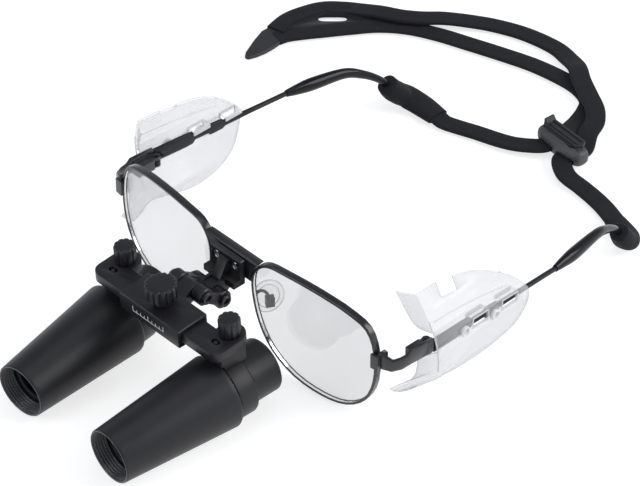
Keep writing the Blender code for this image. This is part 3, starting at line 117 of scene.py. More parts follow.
# Angles above which an edge stays sharp or is eased, and how near welded points are
SHARP_EDGE = 35 * DEG
ROUND_EDGE = 60 * DEG
KNOB_EDGE = 45 * DEG
SHIELD_EDGE = 40 * DEG
BEVEL_EDGE = 40 * DEG
CAD_EDGE = 32 * DEG
WELD_GAP = 0.002 * MM

# Spectacle front and hinges
BRIDGE_BACK = 2.7 * MM
NASAL_X = 10.4 * MM
RIM_WIDTH = 57.4 * MM
RIM_WRAP = 7.3 * DEG
RIM_OUT = NASAL_X + RIM_WIDTH * math.cos(RIM_WRAP)
RIM_BACK = RIM_WIDTH * math.sin(RIM_WRAP)
LUG_Z = 32.0 * MM
TEMPLE_X = RIM_OUT + 7.0 * MM
HINGE_Y = RIM_BACK + 19.1 * MM

# Temples and tips
TEMPLE_START = HINGE_Y + 1.0 * MM
TEMPLE_Z = LUG_Z - 2.3 * MM
TEMPLE_TOE = 0.0454
TEMPLE_FALL = 0.0512
TEMPLE_THICK = 1.5 * MM
TEMPLE_TALL = 5.8 * MM
WAIST_SHARE = 0.42
PLATE_END = TEMPLE_START + 18.6 * MM
WAIST_END = PLATE_END + 14.4 * MM
TAPER_START = WAIST_END + 1.0 * MM
WIRE_START = WAIST_END + 15.6 * MM
WIRE_END = WAIST_END + 42.6 * MM
WIRE_R = 1.0 * MM
TIP_START = WIRE_END - 11.0 * MM
TIP_LEAN = 0.11
TIP_STEPS = (0.0, 5.0 * MM, 12.0 * MM)
TIP_CAP = 0.8 * MM
TIP_FLAT = 0.84

# Side shields, with their hooks, windows and studs
SHIELD_THICK = 0.9 * MM
SHIELD_GAP = 0.75 * MM
PANEL_OUT = TEMPLE_THICK / 2 + SHIELD_GAP + SHIELD_THICK / 2
SHIELD_ROUND = 40.0 * MM
SHIELD_SHIFT = 2.5 * MM
SHIELD_TILT = 3.5 * DEG
FLAP_TURN = 58.0 * DEG
TAIL_TURN = 17.0 * DEG
FOLD_LEAN = 0.15
FOLD_AHEAD = 2.06 * MM
HOOK_AT = (PLATE_END + 3.6 * MM, WAIST_END + 4.6 * MM)
HOOK_LONG = 8.0 * MM
HOOK_WALL = 0.6 * MM
LIP_TALL = 1.8 * MM
WINDOW_LONG = 7.2 * MM
WINDOW_LOW = 0.5 * MM
WINDOW_TOP = 1.3 * MM
WINDOW_CUT = (-0.4 * MM, 6.0 * MM)
# Width, sinking and standing-out of the pale frame painted round each window as a highlight
BORDER_WIDE = 0.5 * MM
BORDER_SUNK = 0.1 * MM
BORDER_PROUD = 0.2 * MM
STUD_R = 2.1 * MM
CREASE_R = 0.22 * MM
# Radius of the pale bead painted along the fold as a highlight
BEAD_R = 0.3 * MM

# Nose pads
PAD_WIDE = 12.0 * MM
PAD_TALL = 15.0 * MM
PAD_TURN = 60.0 * DEG
PAD_AT = (NASAL_X + 1.9 * MM, 7.0 * MM, 24.6 * MM)
PAD_OUT = 2.9 * MM
PAD_RING_SHARES = (0.98, 0.7)
PAD_RING_R = 0.25 * MM

# Strap
STRAP_WIDE = 7.8 * MM
STRAP_THICK = 2.0 * MM
SQUARISH = 4
STRAP_SWELL = 0.12
SWELL_POWER = 6
STRAP_MIDDLE = 0.9
SLEEVE_FROM = 6
SLEEVE_SQUARE = 2.4
SLEEVE_MOUTH = ((0.93, 0.35 * MM), (0.75, 0.6 * MM))
SLEEVE_END_GAP = 0.6 * MM
STRAND_IN_SLEEVE = 3.4 * MM
TAB_LOW = 0.3 * MM
TAB_HIGH = 2.1 * MM
TAB_EASE = 0.8 * MM
SEAM_LOW = 0.9 * MM
SEAM_HIGH = 2.2 * MM
SLIT_AT = (-117.9 * MM, 160.4 * MM)
SLIT_TURN = 46.8 * DEG
SLIT_LONG = 11.5 * MM
SLIT_WIDE = 4.2 * MM

# Lock of the strap, with its button and spring
LOCK_AT = (3.8 * MM, 166.3 * MM)
LOCK_TURN = -5.0 * DEG
LOCK_LONG = 24.4 * MM
LOCK_DEEP = 9.0 * MM
LOCK_TALL = 8.8 * MM
LOCK_GROUND = 0.3 * MM
LOCK_RINGS = 14
LOCK_STEP = 6 * DEG
LOCK_FULLNESS = 0.4
LOCK_SQUARE = 2.8
LOCK_HOLE_X = 5.7 * MM
LOCK_HOLE_Z = 3.3 * MM
POCKET_LONG = 14.0 * MM
POCKET_WIDE = 4.4 * MM
POCKET_LOW = 6.3 * MM
BUTTON_TRAVEL = 0.9 * MM
BUTTON_THICK = 1.4 * MM
BUTTON_SINK = 0.5 * MM
BUTTON_BACK = 1.3 * MM
BUTTON_WIDE = 5.0 * MM
BUTTON_LONG = 20.4 * MM
BUTTON_POINT = 1.6 * MM
BUTTON_EASE = 0.3 * MM
RIB_INSET = 0.9 * MM
RIB_WIDE = 0.8 * MM
RIB_TALL = 0.6 * MM
RIB_SHORT = 2.0 * MM
TOOTH_LONG = 2.2 * MM
TOOTH_TOP = 0.9 * MM
TOOTH_TALL = 1.8 * MM
TOOTH_INSET = 0.2 * MM
OVERLAP = 0.1 * MM
STEM_LOW = 1.9 * MM
STEM_OVERLAP = 0.5 * MM
SPRING_R = 1.5 * MM
SPRING_WIRE_R = 0.2 * MM
SPRING_TURNS = 2
SPRING_STEPS = 24

# Flip-up mount, with its pins, screws and white scale
MOUNT_TILT = 4.2 * DEG
FRONT_PIVOT_Y = -21.0 * MM
FRONT_PIVOT_Z = 39.15 * MM
PIN_R = 1.5 * MM
PIN_HEAD_R = 2.5 * MM
PIN_HEAD_TALL = 0.9 * MM
PIN_EASE = 0.3 * MM
SOCKET_R = 1.4 * MM
SOCKET_DEEP = 0.8 * MM
SCREW_HEAD_R = 1.8 * MM
SCREW_HEAD_TALL = 0.75 * MM
SCREW_EASE = 0.25 * MM
SCREW_R = 1.0 * MM
SCREW_SOCKET_R = 0.9 * MM
SCREW_SOCKET_DEEP = 0.55 * MM
HINGE_HEAD_TALL = 0.7 * MM
HINGE_HEAD_SINK = 0.6
HINGE_HEAD_GROW = 1.4
BLOCK_FRONT = -20.0 * MM
BLOCK_TOP = 1.25 * MM
ARM_TOP = -0.42 * MM
SCALE_BASE = -3.4 * MM
SCALE_FROM = -8.5 * MM
SCALE_STEP = 2.0 * MM
SCALE_TICKS = 9
SCALE_LONG_EVERY = 4
SCALE_LONG = 2.2 * MM
SCALE_SHORT = 1.3 * MM
SCALE_LINE = 0.14 * MM
SCALE_PROUD = 0.05 * MM
SCALE_SUNK = 0.2 * MM

# Knobs
KNOB_GAP = 0.3 * MM
GEAR_Y = -13.075 * MM
ARM_KNOB_X = 27.7 * MM
ARM_KNOB_Y = -6.1 * MM
PD_KNOB_R = 6.0 * MM
PD_KNOB_LOW = 4.7 * MM
PD_KNOB_TALL = 6.0 * MM
PD_STEM_R = 2.3 * MM
PD_COLLAR_R = 3.4 * MM
PD_FLUTES = 16
ARM_KNOB_R = 4.1 * MM
ARM_KNOB_TALL = 7.0 * MM
ARM_STEM_R = 1.4 * MM
ARM_STEM_LONG = 8.0 * MM
ARM_FLUTES = 10
FLUTE_DEPTH = 0.1
FLUTE_SHARE = 0.22
FLUTE_POINTS = 16

# Barrels
BARREL_TURN = 3.9 * DEG
BARREL_LONG = 70.5 * MM
AXIS_DROP = 23.8 * MM
KNOB_FROM_FRONT = 56.5 * MM
FRONT_R = 10.65 * MM
SHOULDER_R = 14.4 * MM
SHOULDER_AT = 48.2 * MM
SHOULDER_EASE = 1.2 * MM
FRONT_BORE_R = 9.65 * MM
THREAD_DEPTH = 0.35 * MM
THREAD_PITCH = 1.1 * MM
THREADS = 5
THREAD_FROM = 0.6 * MM
# Radius of the pale rings painted on the thread crests as highlights
CREST_HIGHLIGHT_R = 0.09 * MM
CREST_SHARES = (0.4, 0.6)
# Radius, inset and set-back of the pale ring painted on the barrel's front face as a highlight
HIGHLIGHT_RING_R = 0.16 * MM
HIGHLIGHT_RING_INSET = 0.45 * MM
HIGHLIGHT_RING_BACK = 0.1 * MM
SEAT_R = 8.9 * MM
SEAT_FROM = 6.4 * MM
SEAT_LONG = 6.4 * MM
SEAT_STEP = 0.8 * MM
REAR_BORE_R = 12.3 * MM
REAR_BORE_LONG = 4.0 * MM
COLLAR_R = 12.7 * MM
COLLAR_LONG = 8.2 * MM
SPIGOT_LONG = 3.4 * MM
EYE_R = 10.45 * MM
EYE_EASE = 1.6 * MM
EYE_BORE_R = 9.0 * MM
EYE_HOLE_R = 7.5 * MM
EYE_LIP = 4.6 * MM
FINE_AROUND = 96


def moved(point, turn=0.0):
    """A place at this point, turned about the upward axis."""
    return Matrix.Translation(point) @ Matrix.Rotation(turn, 4, "Z")


ROW_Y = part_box("bridge_bar")[1][1] - BRIDGE_BACK
ROW = moved((0, ROW_Y, 0))
CARRIER = ROW @ moved((0, FRONT_PIVOT_Y, FRONT_PIVOT_Z)) @ Matrix.Rotation(MOUNT_TILT, 4, "X")


def placed(name, data):
    """A new object of this data in the scene."""
    item = bpy.data.objects.new(name, data)
    bpy.context.scene.collection.objects.link(item)
    return item


# Camera
def camera():
    data = bpy.data.cameras.new("camera")
    data.lens = CAMERA_LENS
    data.sensor_fit = "HORIZONTAL"
    data.sensor_width = SENSOR_WIDE
    data.clip_end = CAMERA_REACH
    item = placed("camera", data)
    aim = ROW @ moved(CAMERA_TARGET, CAMERA_AZIMUTH)
    upward = Matrix.Rotation(math.pi / 2 - CAMERA_ELEVATION, 4, "X")
    item.matrix_world = aim @ upward @ moved((0, 0, CAMERA_DISTANCE))
    bpy.context.scene.camera = item


# Finishes
def shader(name, **values):
    """A principled material with these socket values, its node tree and its shader."""
    material = bpy.data.materials.new(name)
    material.use_nodes = True
    tree = material.node_tree
    body = tree.nodes["Principled BSDF"]
    for socket, value in values.items():
        body.inputs[socket.replace("_", " ")].default_value = value
    return material, tree, body


def node(tree, kind, links=(), **values):
    """A node with these socket values or properties, and links into it as (socket, source)."""
    item = tree.nodes.new("ShaderNode" + kind)
    for key, value in values.items():
        socket = key.replace("_", " ").title()
        if socket in item.inputs:
            item.inputs[socket].default_value = value
        else:
            setattr(item, key, value)
    for socket, source in links:
        tree.links.new(source, item.inputs[socket])
    return item


def noise(tree, scale, detail):
    """Noise laid out in the piece's own space."""
    place = node(tree, "TexCoord").outputs["Object"]
    return node(tree, "TexNoise", [("Vector", place)], scale=scale, detail=detail).outputs["Fac"]


def either(tree, first, second):
    return node(tree, "Math", [(0, first), (1, second)], operation="MAXIMUM").outputs[0]


def ramp(tree, factor, low, high, start=0.3, end=0.7):
    item = node(tree, "ValToRGB", [("Fac", factor)])
    for stop, position, tone in zip(item.color_ramp.elements, (start, end), (low, high)):
        stop.position = position
        stop.color = tuple(tone) + (1,)
    return item.outputs["Color"]


def spread(tree, value, low, high):
    item = node(tree, "MapRange", [("Value", value)], to_min=low, to_max=high)
    return item.outputs["Result"]


def paint(tree, body, factor, tones, rough):
    """Colour and roughness that follow one factor."""
    tree.links.new(ramp(tree, factor, *tones), body.inputs["Base Color"])
    tree.links.new(spread(tree, factor, *rough), body.inputs["Roughness"])


def emboss(tree, body, height, strength, depth):
    relief = node(tree, "Bump", [("Height", height)], strength=strength, distance=depth)
    tree.links.new(relief.outputs["Normal"], body.inputs["Normal"])


def grained(name, dark, light, rough, grain=GRAIN_SCALE, depth=GRAIN_DEPTH, **values):
    """A surface with slow patches in colour and gloss, and a fine grain in relief."""
    material, tree, body = shader(name, **values)
    paint(tree, body, noise(tree, *PATCHES), (dark, light), rough)
    emboss(tree, body, noise(tree, grain, GRAIN_DETAIL), RELIEF, depth)
    return material


def woven(name, dark, light, ribs, threads):
    """Webbing: ribs across the strap and threads along it, laid out by the piece's own map."""
    material, tree, body = shader(name, Specular_IOR_Level=0.25, Sheen_Weight=0.06, Sheen_Roughness=0.4)
    place = node(tree, "UVMap", uv_map="run").outputs["UV"]
    across = node(tree, "TexWave", [("Vector", place)], bands_direction="Y", scale=ribs, distortion=0.6)
    along = node(tree, "TexWave", [("Vector", place)], bands_direction="X", scale=threads, distortion=0.4)
    both = [(0, across.outputs["Fac"]), (1, along.outputs["Fac"])]
    weave = node(tree, "Math", both, operation="MULTIPLY").outputs[0]
    paint(tree, body, noise(tree, *FUZZ), (dark, light), WEBBING_ROUGH)
    emboss(tree, body, weave, RELIEF, WEAVE_DEPTH)
    return material


def clear(name, tint, veil, rough, haze):
    """A clear plastic with a faint haze: veil is how much of the light its surface keeps."""
    material, tree, body = shader(name, Alpha=veil)
    paint(tree, body, noise(tree, *HAZE), ([c * haze for c in tint], tint), rough)
    emboss(tree, body, noise(tree, *RIPPLES), RIPPLE_RELIEF, RIPPLE_DEPTH)
    return material


def glass(name, tint, rough):
    material, tree, body = shader(name, Transmission_Weight=1.0, IOR=1.5)
    slow = noise(tree, *STREAKS)
    paint(tree, body, slow, ([c * GLASS_DIM for c in tint], tint), (0.0, rough))
    return material


MATERIALS = {
    "frame": grained("frame_black", (0.008, 0.008, 0.010), (0.013, 0.013, 0.016), (0.22, 0.32),
                     depth=0.006 * MM, Specular_IOR_Level=0.45, Coat_Weight=0.2, Coat_Roughness=0.15),
    "temple": grained("temple_black", (0.007, 0.007, 0.009), (0.011, 0.011, 0.014), (0.24, 0.34),
                      depth=0.006 * MM, Specular_IOR_Level=0.24),
    "mount": grained("mount_black", (0.008, 0.008, 0.010), (0.013, 0.013, 0.016), (0.36, 0.46),
                     Specular_IOR_Level=0.4),
    "barrel": grained("barrel_black", (0.008, 0.008, 0.010), (0.012, 0.012, 0.015), (0.4, 0.48),
                      depth=0.012 * MM, Specular_IOR_Level=0.35),
    "inside": grained("inside_black", (0.018, 0.018, 0.022), (0.028, 0.028, 0.033), (0.35, 0.5)),
    "tip": grained("tip_black", (0.007, 0.007, 0.009), (0.011, 0.011, 0.014), (0.1, 0.16),
                   depth=0.004 * MM, Specular_IOR_Level=0.22),
    "strap": woven("strap_black", (0.008, 0.008, 0.010), (0.014, 0.014, 0.017), 1400.0, 2400.0),
    "lock": grained("lock_black", (0.044, 0.044, 0.051), (0.060, 0.060, 0.069), (0.42, 0.54), grain=1800.0),
    "tab": grained("tab_black", (0.014, 0.014, 0.017), (0.022, 0.022, 0.026), (0.5, 0.65),
                   grain=1500.0, depth=0.05 * MM),
    # Pale grey painted on the barrels' front ring and thread-crest rings as highlights
    "lip": grained("lip_grey", (0.09, 0.09, 0.10), (0.13, 0.13, 0.14), (0.3, 0.4)),
    "steel": grained("steel", (0.30, 0.30, 0.31), (0.45, 0.45, 0.46), (0.24, 0.36),
                     depth=0.008 * MM, Metallic=1.0),
    "lens": glass("lens_clear", (0.725, 0.727, 0.735), 0.01),
    "pad": clear("pad_clear", (0.72, 0.72, 0.73), 0.06, (0.2, 0.3), 0.95),
    "shield": clear("shield_clear", (0.765, 0.765, 0.78), 0.335, (0.15, 0.25), 0.97),
    "strip": clear("shield_strip", (0.82, 0.82, 0.83), 0.16, (0.15, 0.25), 0.97),
    # Pale finish painted on the shields' cut edges, window frames, hook lips and ends, studs and fold bead as
    # highlights of the clear plastic
    "edge": clear("painted_highlight_shield_edge", (0.92, 0.92, 0.93), 0.6, (0.2, 0.3), 0.97),
    "optic": glass("optic_glass", (0.55, 0.58, 0.6), 0.005),
    "mark": grained("mark_white", (0.78, 0.78, 0.78), (0.86, 0.86, 0.86), (0.5, 0.6)),
}


# Shapes
def loft(rings, closed=False):
    """Quads between equal rings, mapped along and across the run, with a face over each open end."""
    data = bmesh.new()
    layer = data.loops.layers.uv.new("run")
    rows = [[data.verts.new(point) for point in ring] for ring in rings]
    pairs = list(zip(rows, rows[1:]))
    if closed:
        pairs.append((rows[-1], rows[0]))
    gone = 0.0
    for low, high in pairs:
        count = len(low)
        step = (middle(high) - middle(low)).length
        for i in range(count):
            j = (i + 1) % count
            face = data.faces.new((low[i], low[j], high[j], high[i]))
            corners = ((i, gone), (i + 1, gone), (i + 1, gone + step), (i, gone + step))
            for loop, (turn, run) in zip(face.loops, corners):
                loop[layer].uv = (turn / count * MAP_AROUND, run)
        gone += step
    if not closed:
        data.faces.new(rows[0][::-1])
        data.faces.new(rows[-1])
    return data


def middle(row):
    return sum((vert.co for vert in row), Vector()) / len(row)


def circle(radius, count, start=0.0):
    turns = [start + 2 * math.pi * i / count for i in range(count)]
    return [(radius * math.cos(t), radius * math.sin(t)) for t in turns]


def ring_at(outline, along, axes):
    """An outline at one place along an axis: axes says where its two values and the place go."""
    order = [axes.index(letter) for letter in "XYZ"]
    return [[(first, second, along)[i] for i in order] for first, second in outline]


def turned(profile, count, axes="XYZ", closed=False):
    return loft([ring_at(circle(radius, count), along, axes) for radius, along in profile], closed)


def slab(outline, low, high, axes="XYZ"):
    return loft([ring_at(outline, along, axes) for along in (low, high)])


def block(low, high):
    return slab(((low[0], low[1]), (high[0], low[1]), (high[0], high[1]), (low[0], high[1])), low[2], high[2])


def sided(centre, x_ends, half_y, half_z):
    """A block round a point of one side, from one x to the other."""
    low, high = sorted(x_ends)
    return block((centre.x + low, centre.y - half_y, centre.z - half_z),
                 (centre.x + high, centre.y + half_y, centre.z + half_z))


def rounded(width, height, power=2.0, count=24):
    """An oval, or with a higher power a rectangle with round corners."""
    points = []
    for first, second in circle(1.0, count, math.pi / count):
        a = math.copysign(abs(first) ** (2 / power), first) * width / 2
        b = math.copysign(abs(second) ** (2 / power), second) * height / 2
        points.append((a, b))
    return points


def hoop(width, height, radius, count=48, y=0.0):
    """An oval ring of round wire across the Y axis."""
    rings = []
    for a, b in circle(1.0, count):
        at = Vector((a * width / 2, 0, b * height / 2))
        out = at.normalized()
        rings.append([at + out * c + Vector((0, y + d, 0)) for c, d in circle(radius, 10)])
    return loft(rings, closed=True)


def together(parts):
    data = bmesh.new()
    for part in parts:
        mesh = bpy.data.meshes.new("part")
        part.to_mesh(mesh)
        part.free()
        data.from_mesh(mesh)
        bpy.data.meshes.remove(mesh)
    return data


def between(before, start, end, after, t):
    return 0.5 * (
        2 * start + (end - before) * t + (2 * before - 5 * start + 4 * end - after) * t ** 2
        + (3 * start - before - 3 * end + after) * t ** 3
    )


def smooth_run(points, steps):
    """A curve through points of any number of values, with this many steps between two of them."""
    points = [Vector(p) for p in points]
    found = []
    for i in range(len(points) - 1):
        around = [points[min(max(i + k, 0), len(points) - 1)] for k in (-1, 0, 1, 2)]
        found += [between(*around, k / steps) for k in range(steps)]
    return found + [points[-1]]


def swept(path, sections):
    """Rings of sections across a path: first value to the side, second value upward."""
    rings = []
    for i, point in enumerate(path):
        along = (path[min(i + 1, len(path) - 1)] - path[max(i - 1, 0)]).normalized()
        aside = along.cross(Vector((0, 0, 1))).normalized()
        upward = aside.cross(along)
        rings.append([point + aside * a + upward * b for a, b in sections[i]])
    return rings


def wire(path, radius):
    return loft(swept(path, [rounded(2 * radius, 2 * radius, count=10)] * len(path)))


# Pieces
def make(name, data, finish, place=None, sharp=SHARP_EDGE):
    bmesh.ops.recalc_face_normals(data, faces=data.faces)
    mesh = bpy.data.meshes.new(name)
    data.to_mesh(mesh)
    data.free()
    mesh.materials.append(MATERIALS[finish])
    mesh.shade_smooth()
    mesh.set_sharp_from_angle(angle=sharp)
    item = placed(name, mesh)
    if place is not None:
        item.matrix_world = place
    return item


def enter(item, body, stands_for=()):
    """Hides the CAD nodes a piece stands for, and hangs it on the body it rides on."""
    if stands_for:
        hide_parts(*stands_for)
    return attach(item, body)


def piece(name, data, finish, body, place=None, stands_for=(), sharp=SHARP_EDGE):
    return enter(make(name, data, finish, place, sharp), body, stands_for)


def cut(target, tool):
    """Takes the tool's shape out of the target for good."""
    modifier = target.modifiers.new("cut", "BOOLEAN")
    modifier.solver = "EXACT"
    modifier.object = tool
    bpy.context.view_layer.update()
    graph = bpy.context.evaluated_depsgraph_get()
    mesh = bpy.data.meshes.new_from_object(target.evaluated_get(graph))
    target.modifiers.clear()
    target.data = mesh
    bpy.data.objects.remove(tool)


def soften(item, width, segments=3):
    modifier = item.modifiers.new("soft edges", "BEVEL")
    modifier.width = width
    modifier.segments = segments
    modifier.limit_method = "ANGLE"
    modifier.angle_limit = BEVEL_EDGE
    modifier.harden_normals = True


def dress(name, finish, width=0.0):
    """Gives a CAD node its finish, with smooth shading and eased edges."""
    item = FRAME["nodes"][name]
    item.data.materials.clear()
    item.data.materials.append(MATERIALS[finish])
    faces = item.data.polygons
    faces.foreach_set("use_smooth", [True] * len(faces))
    faces.foreach_set("material_index", [0] * len(faces))
    weld = item.modifiers.new("weld", "WELD")
    weld.merge_threshold = WELD_GAP
    if width:
        soften(item, width)
    parted = item.modifiers.new("sharp edges", "EDGE_SPLIT")
    parted.split_angle = CAD_EDGE


# Strap: paths and widths in millimetres, from the hinge of a temple or the middle of the bridge
TIP_BEND = (
    (-7.5, 91.6, 24.9), (-9.8, 99.6, 21.5), (-11.5, 105.6, 17.3), (-12.6, 110.0, 12.7), (-13.0, 112.0, 9.6),
)
TIP_WIDE = (2.9, 4.4, 5.5, 4.4, 3.5, 3.0, 2.9, 2.8, 2.0)
SLEEVE_RUNS = {
    "left": (
        (-13.5, 114.1, 6.4), (-14.3, 116.6, 4.1), (-16.8, 119.1, 3.0), (-21.0, 121.1, 2.3),
        (-27.2, 123.4, 2.2),
    ),
    "right": (
        (-13.4, 115.2, 6.4), (-14.6, 118.0, 4.1), (-17.6, 119.4, 2.9), (-22.3, 119.9, 2.3),
        (-30.7, 119.4, 2.2),
    ),
}
SLEEVE_GROW = {"left": 1.0, "right": 1.15}
SLEEVE_SIZES = ((7.2, 7.0), (8.4, 7.6), (9.0, 7.4), (9.4, 6.4), (9.6, 4.8), (9.6, 3.6), (8.3, 3.0))
STRAND_RUNS = {
    "left": ((38.9, 153.0, 1.5), (32.0, 154.6, 1.4), (24.6, 155.5, 1.6), (16.0, 155.8, 2.6)),
    "right": (
        (-39.6, 146.0, 1.6), (-34.0, 148.0, 1.4), (-27.0, 150.6, 1.4), (-17.0, 153.4, 1.8),
        (-9.6, 156.0, 2.6),
    ),
}
TAIL_RUNS = {
    "outer": (
        (5.0, 178.9, 3.8), (1.8, 186.0, 3.9), (-4.0, 192.0, 3.9), (-11.6, 196.4, 3.9), (-20.4, 201.4, 3.9),
        (-27.2, 206.2, 3.6), (-34.6, 209.4, 2.0), (-44.6, 211.4, 1.4), (-58.7, 209.2, 1.4),
        (-71.1, 204.2, 1.5), (-80.0, 197.2, 2.6), (-86.0, 190.8, 3.8), (-91.5, 185.0, 3.9),
        (-98.0, 179.8, 3.9), (-106.5, 175.2, 3.8), (-113.4, 172.2, 2.6), (-119.8, 169.0, 1.6),
        (-125.8, 163.0, 1.5), (-128.6, 154.6, 1.8), (-129.4, 147.0, 2.0), (-127.8, 138.6, 2.0),
    ),
    "inner": (
        (-3.3, 178.2, 2.2), (-5.0, 184.0, 1.4), (-7.4, 190.6, 1.4), (-11.2, 196.2, 1.4), (-18.6, 199.0, 1.4),
        (-27.8, 199.2, 1.4), (-41.8, 197.2, 1.4), (-56.0, 193.0, 1.4), (-69.0, 188.6, 1.4),
        (-82.0, 184.0, 1.4), (-93.2, 178.4, 1.4), (-102.3, 170.8, 1.4), (-109.1, 161.5, 1.4),
        (-115.0, 152.6, 1.4), (-119.4, 146.2, 1.3), (-123.0, 140.0, 1.3), (-124.2, 135.4, 1.3),
    ),
}
TAB_OUTLINE = (
    (-129.0, 145.0), (-131.4, 140.4), (-131.4, 134.4), (-129.0, 128.0), (-125.6, 120.6), (-123.6, 118.2),
    (-122.0, 118.8), (-120.8, 122.4), (-120.2, 126.6), (-120.2, 131.0), (-121.0, 137.0), (-124.0, 143.0),
)
SEWN_FROM = {"outer": 13, "inner": 10}


def in_row(points):
    """Points in millimetres from the middle of the bridge, in the row frame."""
    return [ROW @ (Vector(point) * MM) for point in points]


def behind_hinge(side, point):
    out, back, z = point
    return ROW @ Vector((side * (TEMPLE_X + out * MM), HINGE_Y + back * MM, z * MM))


def temple_point(side, y):
    run = y - TEMPLE_START
    return ROW @ Vector((side * (TEMPLE_X - TEMPLE_TOE * run), y, TEMPLE_Z - TEMPLE_FALL * run))


def lock_point(side, depth):
    aside = Matrix.Rotation(LOCK_TURN, 3, "Z") @ Vector((side * LOCK_HOLE_X, depth, 0))
    return ROW @ (Vector((*LOCK_AT, LOCK_HOLE_Z)) + aside)


def tip_path(side):
    path = [temple_point(side, TIP_START + run) - Vector((side * TIP_LEAN * run, 0, 0)) for run in TIP_STEPS]
    path += [behind_hinge(side, point) for point in TIP_BEND]
    return path + [path[-1] + (path[-1] - path[-2]).normalized() * TIP_CAP]


def strap_section():
    """Flat webbing with rounder edges than its middle."""
    points = []
    for a, b in rounded(STRAP_WIDE, STRAP_THICK, SQUARISH, 32):
        swell = 1 + STRAP_SWELL * (abs(a) / (STRAP_WIDE / 2)) ** SWELL_POWER
        points.append((a, b * swell * STRAP_MIDDLE))
    return points


def webbing(name, points, node_name):
    path = smooth_run(points, 8)
    item = make(name, loft(swept(path, [strap_section()] * len(path))), "strap", sharp=ROUND_EDGE)
    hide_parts(node_name)
    return item, path


def strap():
    """Two strands from the sleeves to the lock, and two tails from there to the tab."""
    face = LOCK_DEEP / 2
    for side, word in SIDES:
        run = [behind_hinge(side, point) for point in SLEEVE_RUNS[word]]
        along = (run[-1] - run[-2]).normalized()
        start = run[-1] - along * STRAND_IN_SLEEVE
        points = [start, run[-1] + along * SLEEVE_END_GAP] + in_row(STRAND_RUNS[word])
        points += [lock_point(side, -face - MM), lock_point(side, -3 * FIT_GAP)]
        item, path = webbing("strand_" + word, points, "strap_strand_" + word)
        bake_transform(item)
    tab = end_tab()
    for side, word in ((1, "outer"), (-1, "inner")):
        points = [lock_point(side, 3 * FIT_GAP), lock_point(side, face + MM)] + in_row(TAIL_RUNS[word])
        item, path = webbing("tail_" + word, points, "strap_tail_" + word)
        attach(item, "frame")


def end_tab():
    """A leaf under the joined ends of the tails, and the webbing sewn between them round a slit."""
    outline = [(x * MM, y * MM) for x, y in TAB_OUTLINE]
    leaf = slab(outline, TAB_LOW, TAB_HIGH)
    tab = piece("end_tab", leaf, "tab", "frame", ROW, ("strap_end_tab",))
    soften(tab, TAB_EASE, segments=4)
    edges = TAIL_RUNS["outer"][SEWN_FROM["outer"]:] + TAIL_RUNS["inner"][SEWN_FROM["inner"]:][::-1]
    patch = make("sewn_web", slab([(x * MM, y * MM) for x, y, _ in edges], SEAM_LOW, SEAM_HIGH), "strap", ROW)
    slit = slab(rounded(SLIT_LONG, SLIT_WIDE, SQUARISH), -2 * SEAM_HIGH, 2 * SEAM_HIGH)
    cut(patch, make("slit", slit, "strap", ROW @ moved((*SLIT_AT, SEAM_HIGH), SLIT_TURN)))
    enter(patch, "frame", ())
    return tab


def sleeve(side, word):
    """A soft tube over the tip that flattens into the strap, with a rounded mouth."""
    points = tip_path(side)[SLEEVE_FROM:SLEEVE_FROM + 2]
    points += [behind_hinge(side, point) for point in SLEEVE_RUNS[word]]
    grow = SLEEVE_GROW[word] * MM
    sizes_at = [(wide * grow, tall * grow) for wide, tall in SLEEVE_SIZES]
    values = smooth_run([tuple(point) + size for point, size in zip(points, sizes_at)], 6)
    path = [Vector(value[:3]) for value in values]
    rings = swept(path, [rounded(value[3], value[4], SLEEVE_SQUARE, 32) for value in values])
    mouth = (path[0] - path[1]).normalized()
    first = rings[0]
    for share, ahead in SLEEVE_MOUTH:
        rings.insert(0, [path[0] + mouth * ahead + (point - path[0]) * share for point in first])
    piece("sleeve_" + word, loft(rings), "strap", "temple_" + word, None, ("strap_sleeve_" + word,),
          ROUND_EDGE)


def temple_tip(side, word):
    values = smooth_run([tuple(point) + (wide * MM,) for point, wide in zip(tip_path(side), TIP_WIDE)], 6)
    rings = swept([Vector(v[:3]) for v in values], [rounded(TIP_FLAT * v[3], v[3]) for v in values])
    piece("tip_" + word, loft(rings), "tip", "temple_" + word, None, ("temple_tip_" + word,),
          ROUND_EDGE)


# Lock
def lock():
    """A bean with two flat holes for the strap, and a seat and a pocket on top for the button."""
    place = ROW @ moved((*LOCK_AT, LOCK_GROUND), LOCK_TURN)
    rings = []
    for i in range(-LOCK_RINGS, LOCK_RINGS + 1):
        turn = i * LOCK_STEP
        full = math.cos(turn) ** LOCK_FULLNESS
        section = rounded(LOCK_DEEP * full, LOCK_TALL * full, LOCK_SQUARE, 40)
        rings.append([(LOCK_LONG / 2 * math.sin(turn), a, b + LOCK_TALL / 2) for a, b in section])
    body = make("lock_shell", loft(rings), "lock", place, ROUND_EDGE)
    for shape in lock_hollows():
        cut(body, make("hollow", shape, "lock", place))
    enter(body, "frame", ("lock_body",))
    button(place)
    spring()


def lock_hollows():
    half = (STRAP_WIDE / 2 + 2 * FIT_GAP, STRAP_THICK / 2 + FIT_GAP)
    z = LOCK_HOLE_Z - LOCK_GROUND
    shapes = []
    for side, _ in SIDES:
        x = side * LOCK_HOLE_X
        shapes.append(block((x - half[0], -LOCK_DEEP, z - half[1]), (x + half[0], LOCK_DEEP, z + half[1])))
    top = 2 * LOCK_TALL
    reach = BUTTON_LONG / 2 + FIT_GAP
    wide = BUTTON_WIDE / 2 + FIT_GAP
    seat_at = LOCK_TALL - BUTTON_SINK - BUTTON_TRAVEL - FIT_GAP
    shapes.append(block((-reach, BUTTON_BACK - wide, seat_at), (reach, BUTTON_BACK + wide, top)))
    x = POCKET_LONG / 2
    y = POCKET_WIDE / 2
    return shapes + [block((-x, -y, POCKET_LOW), (x, y, top))]


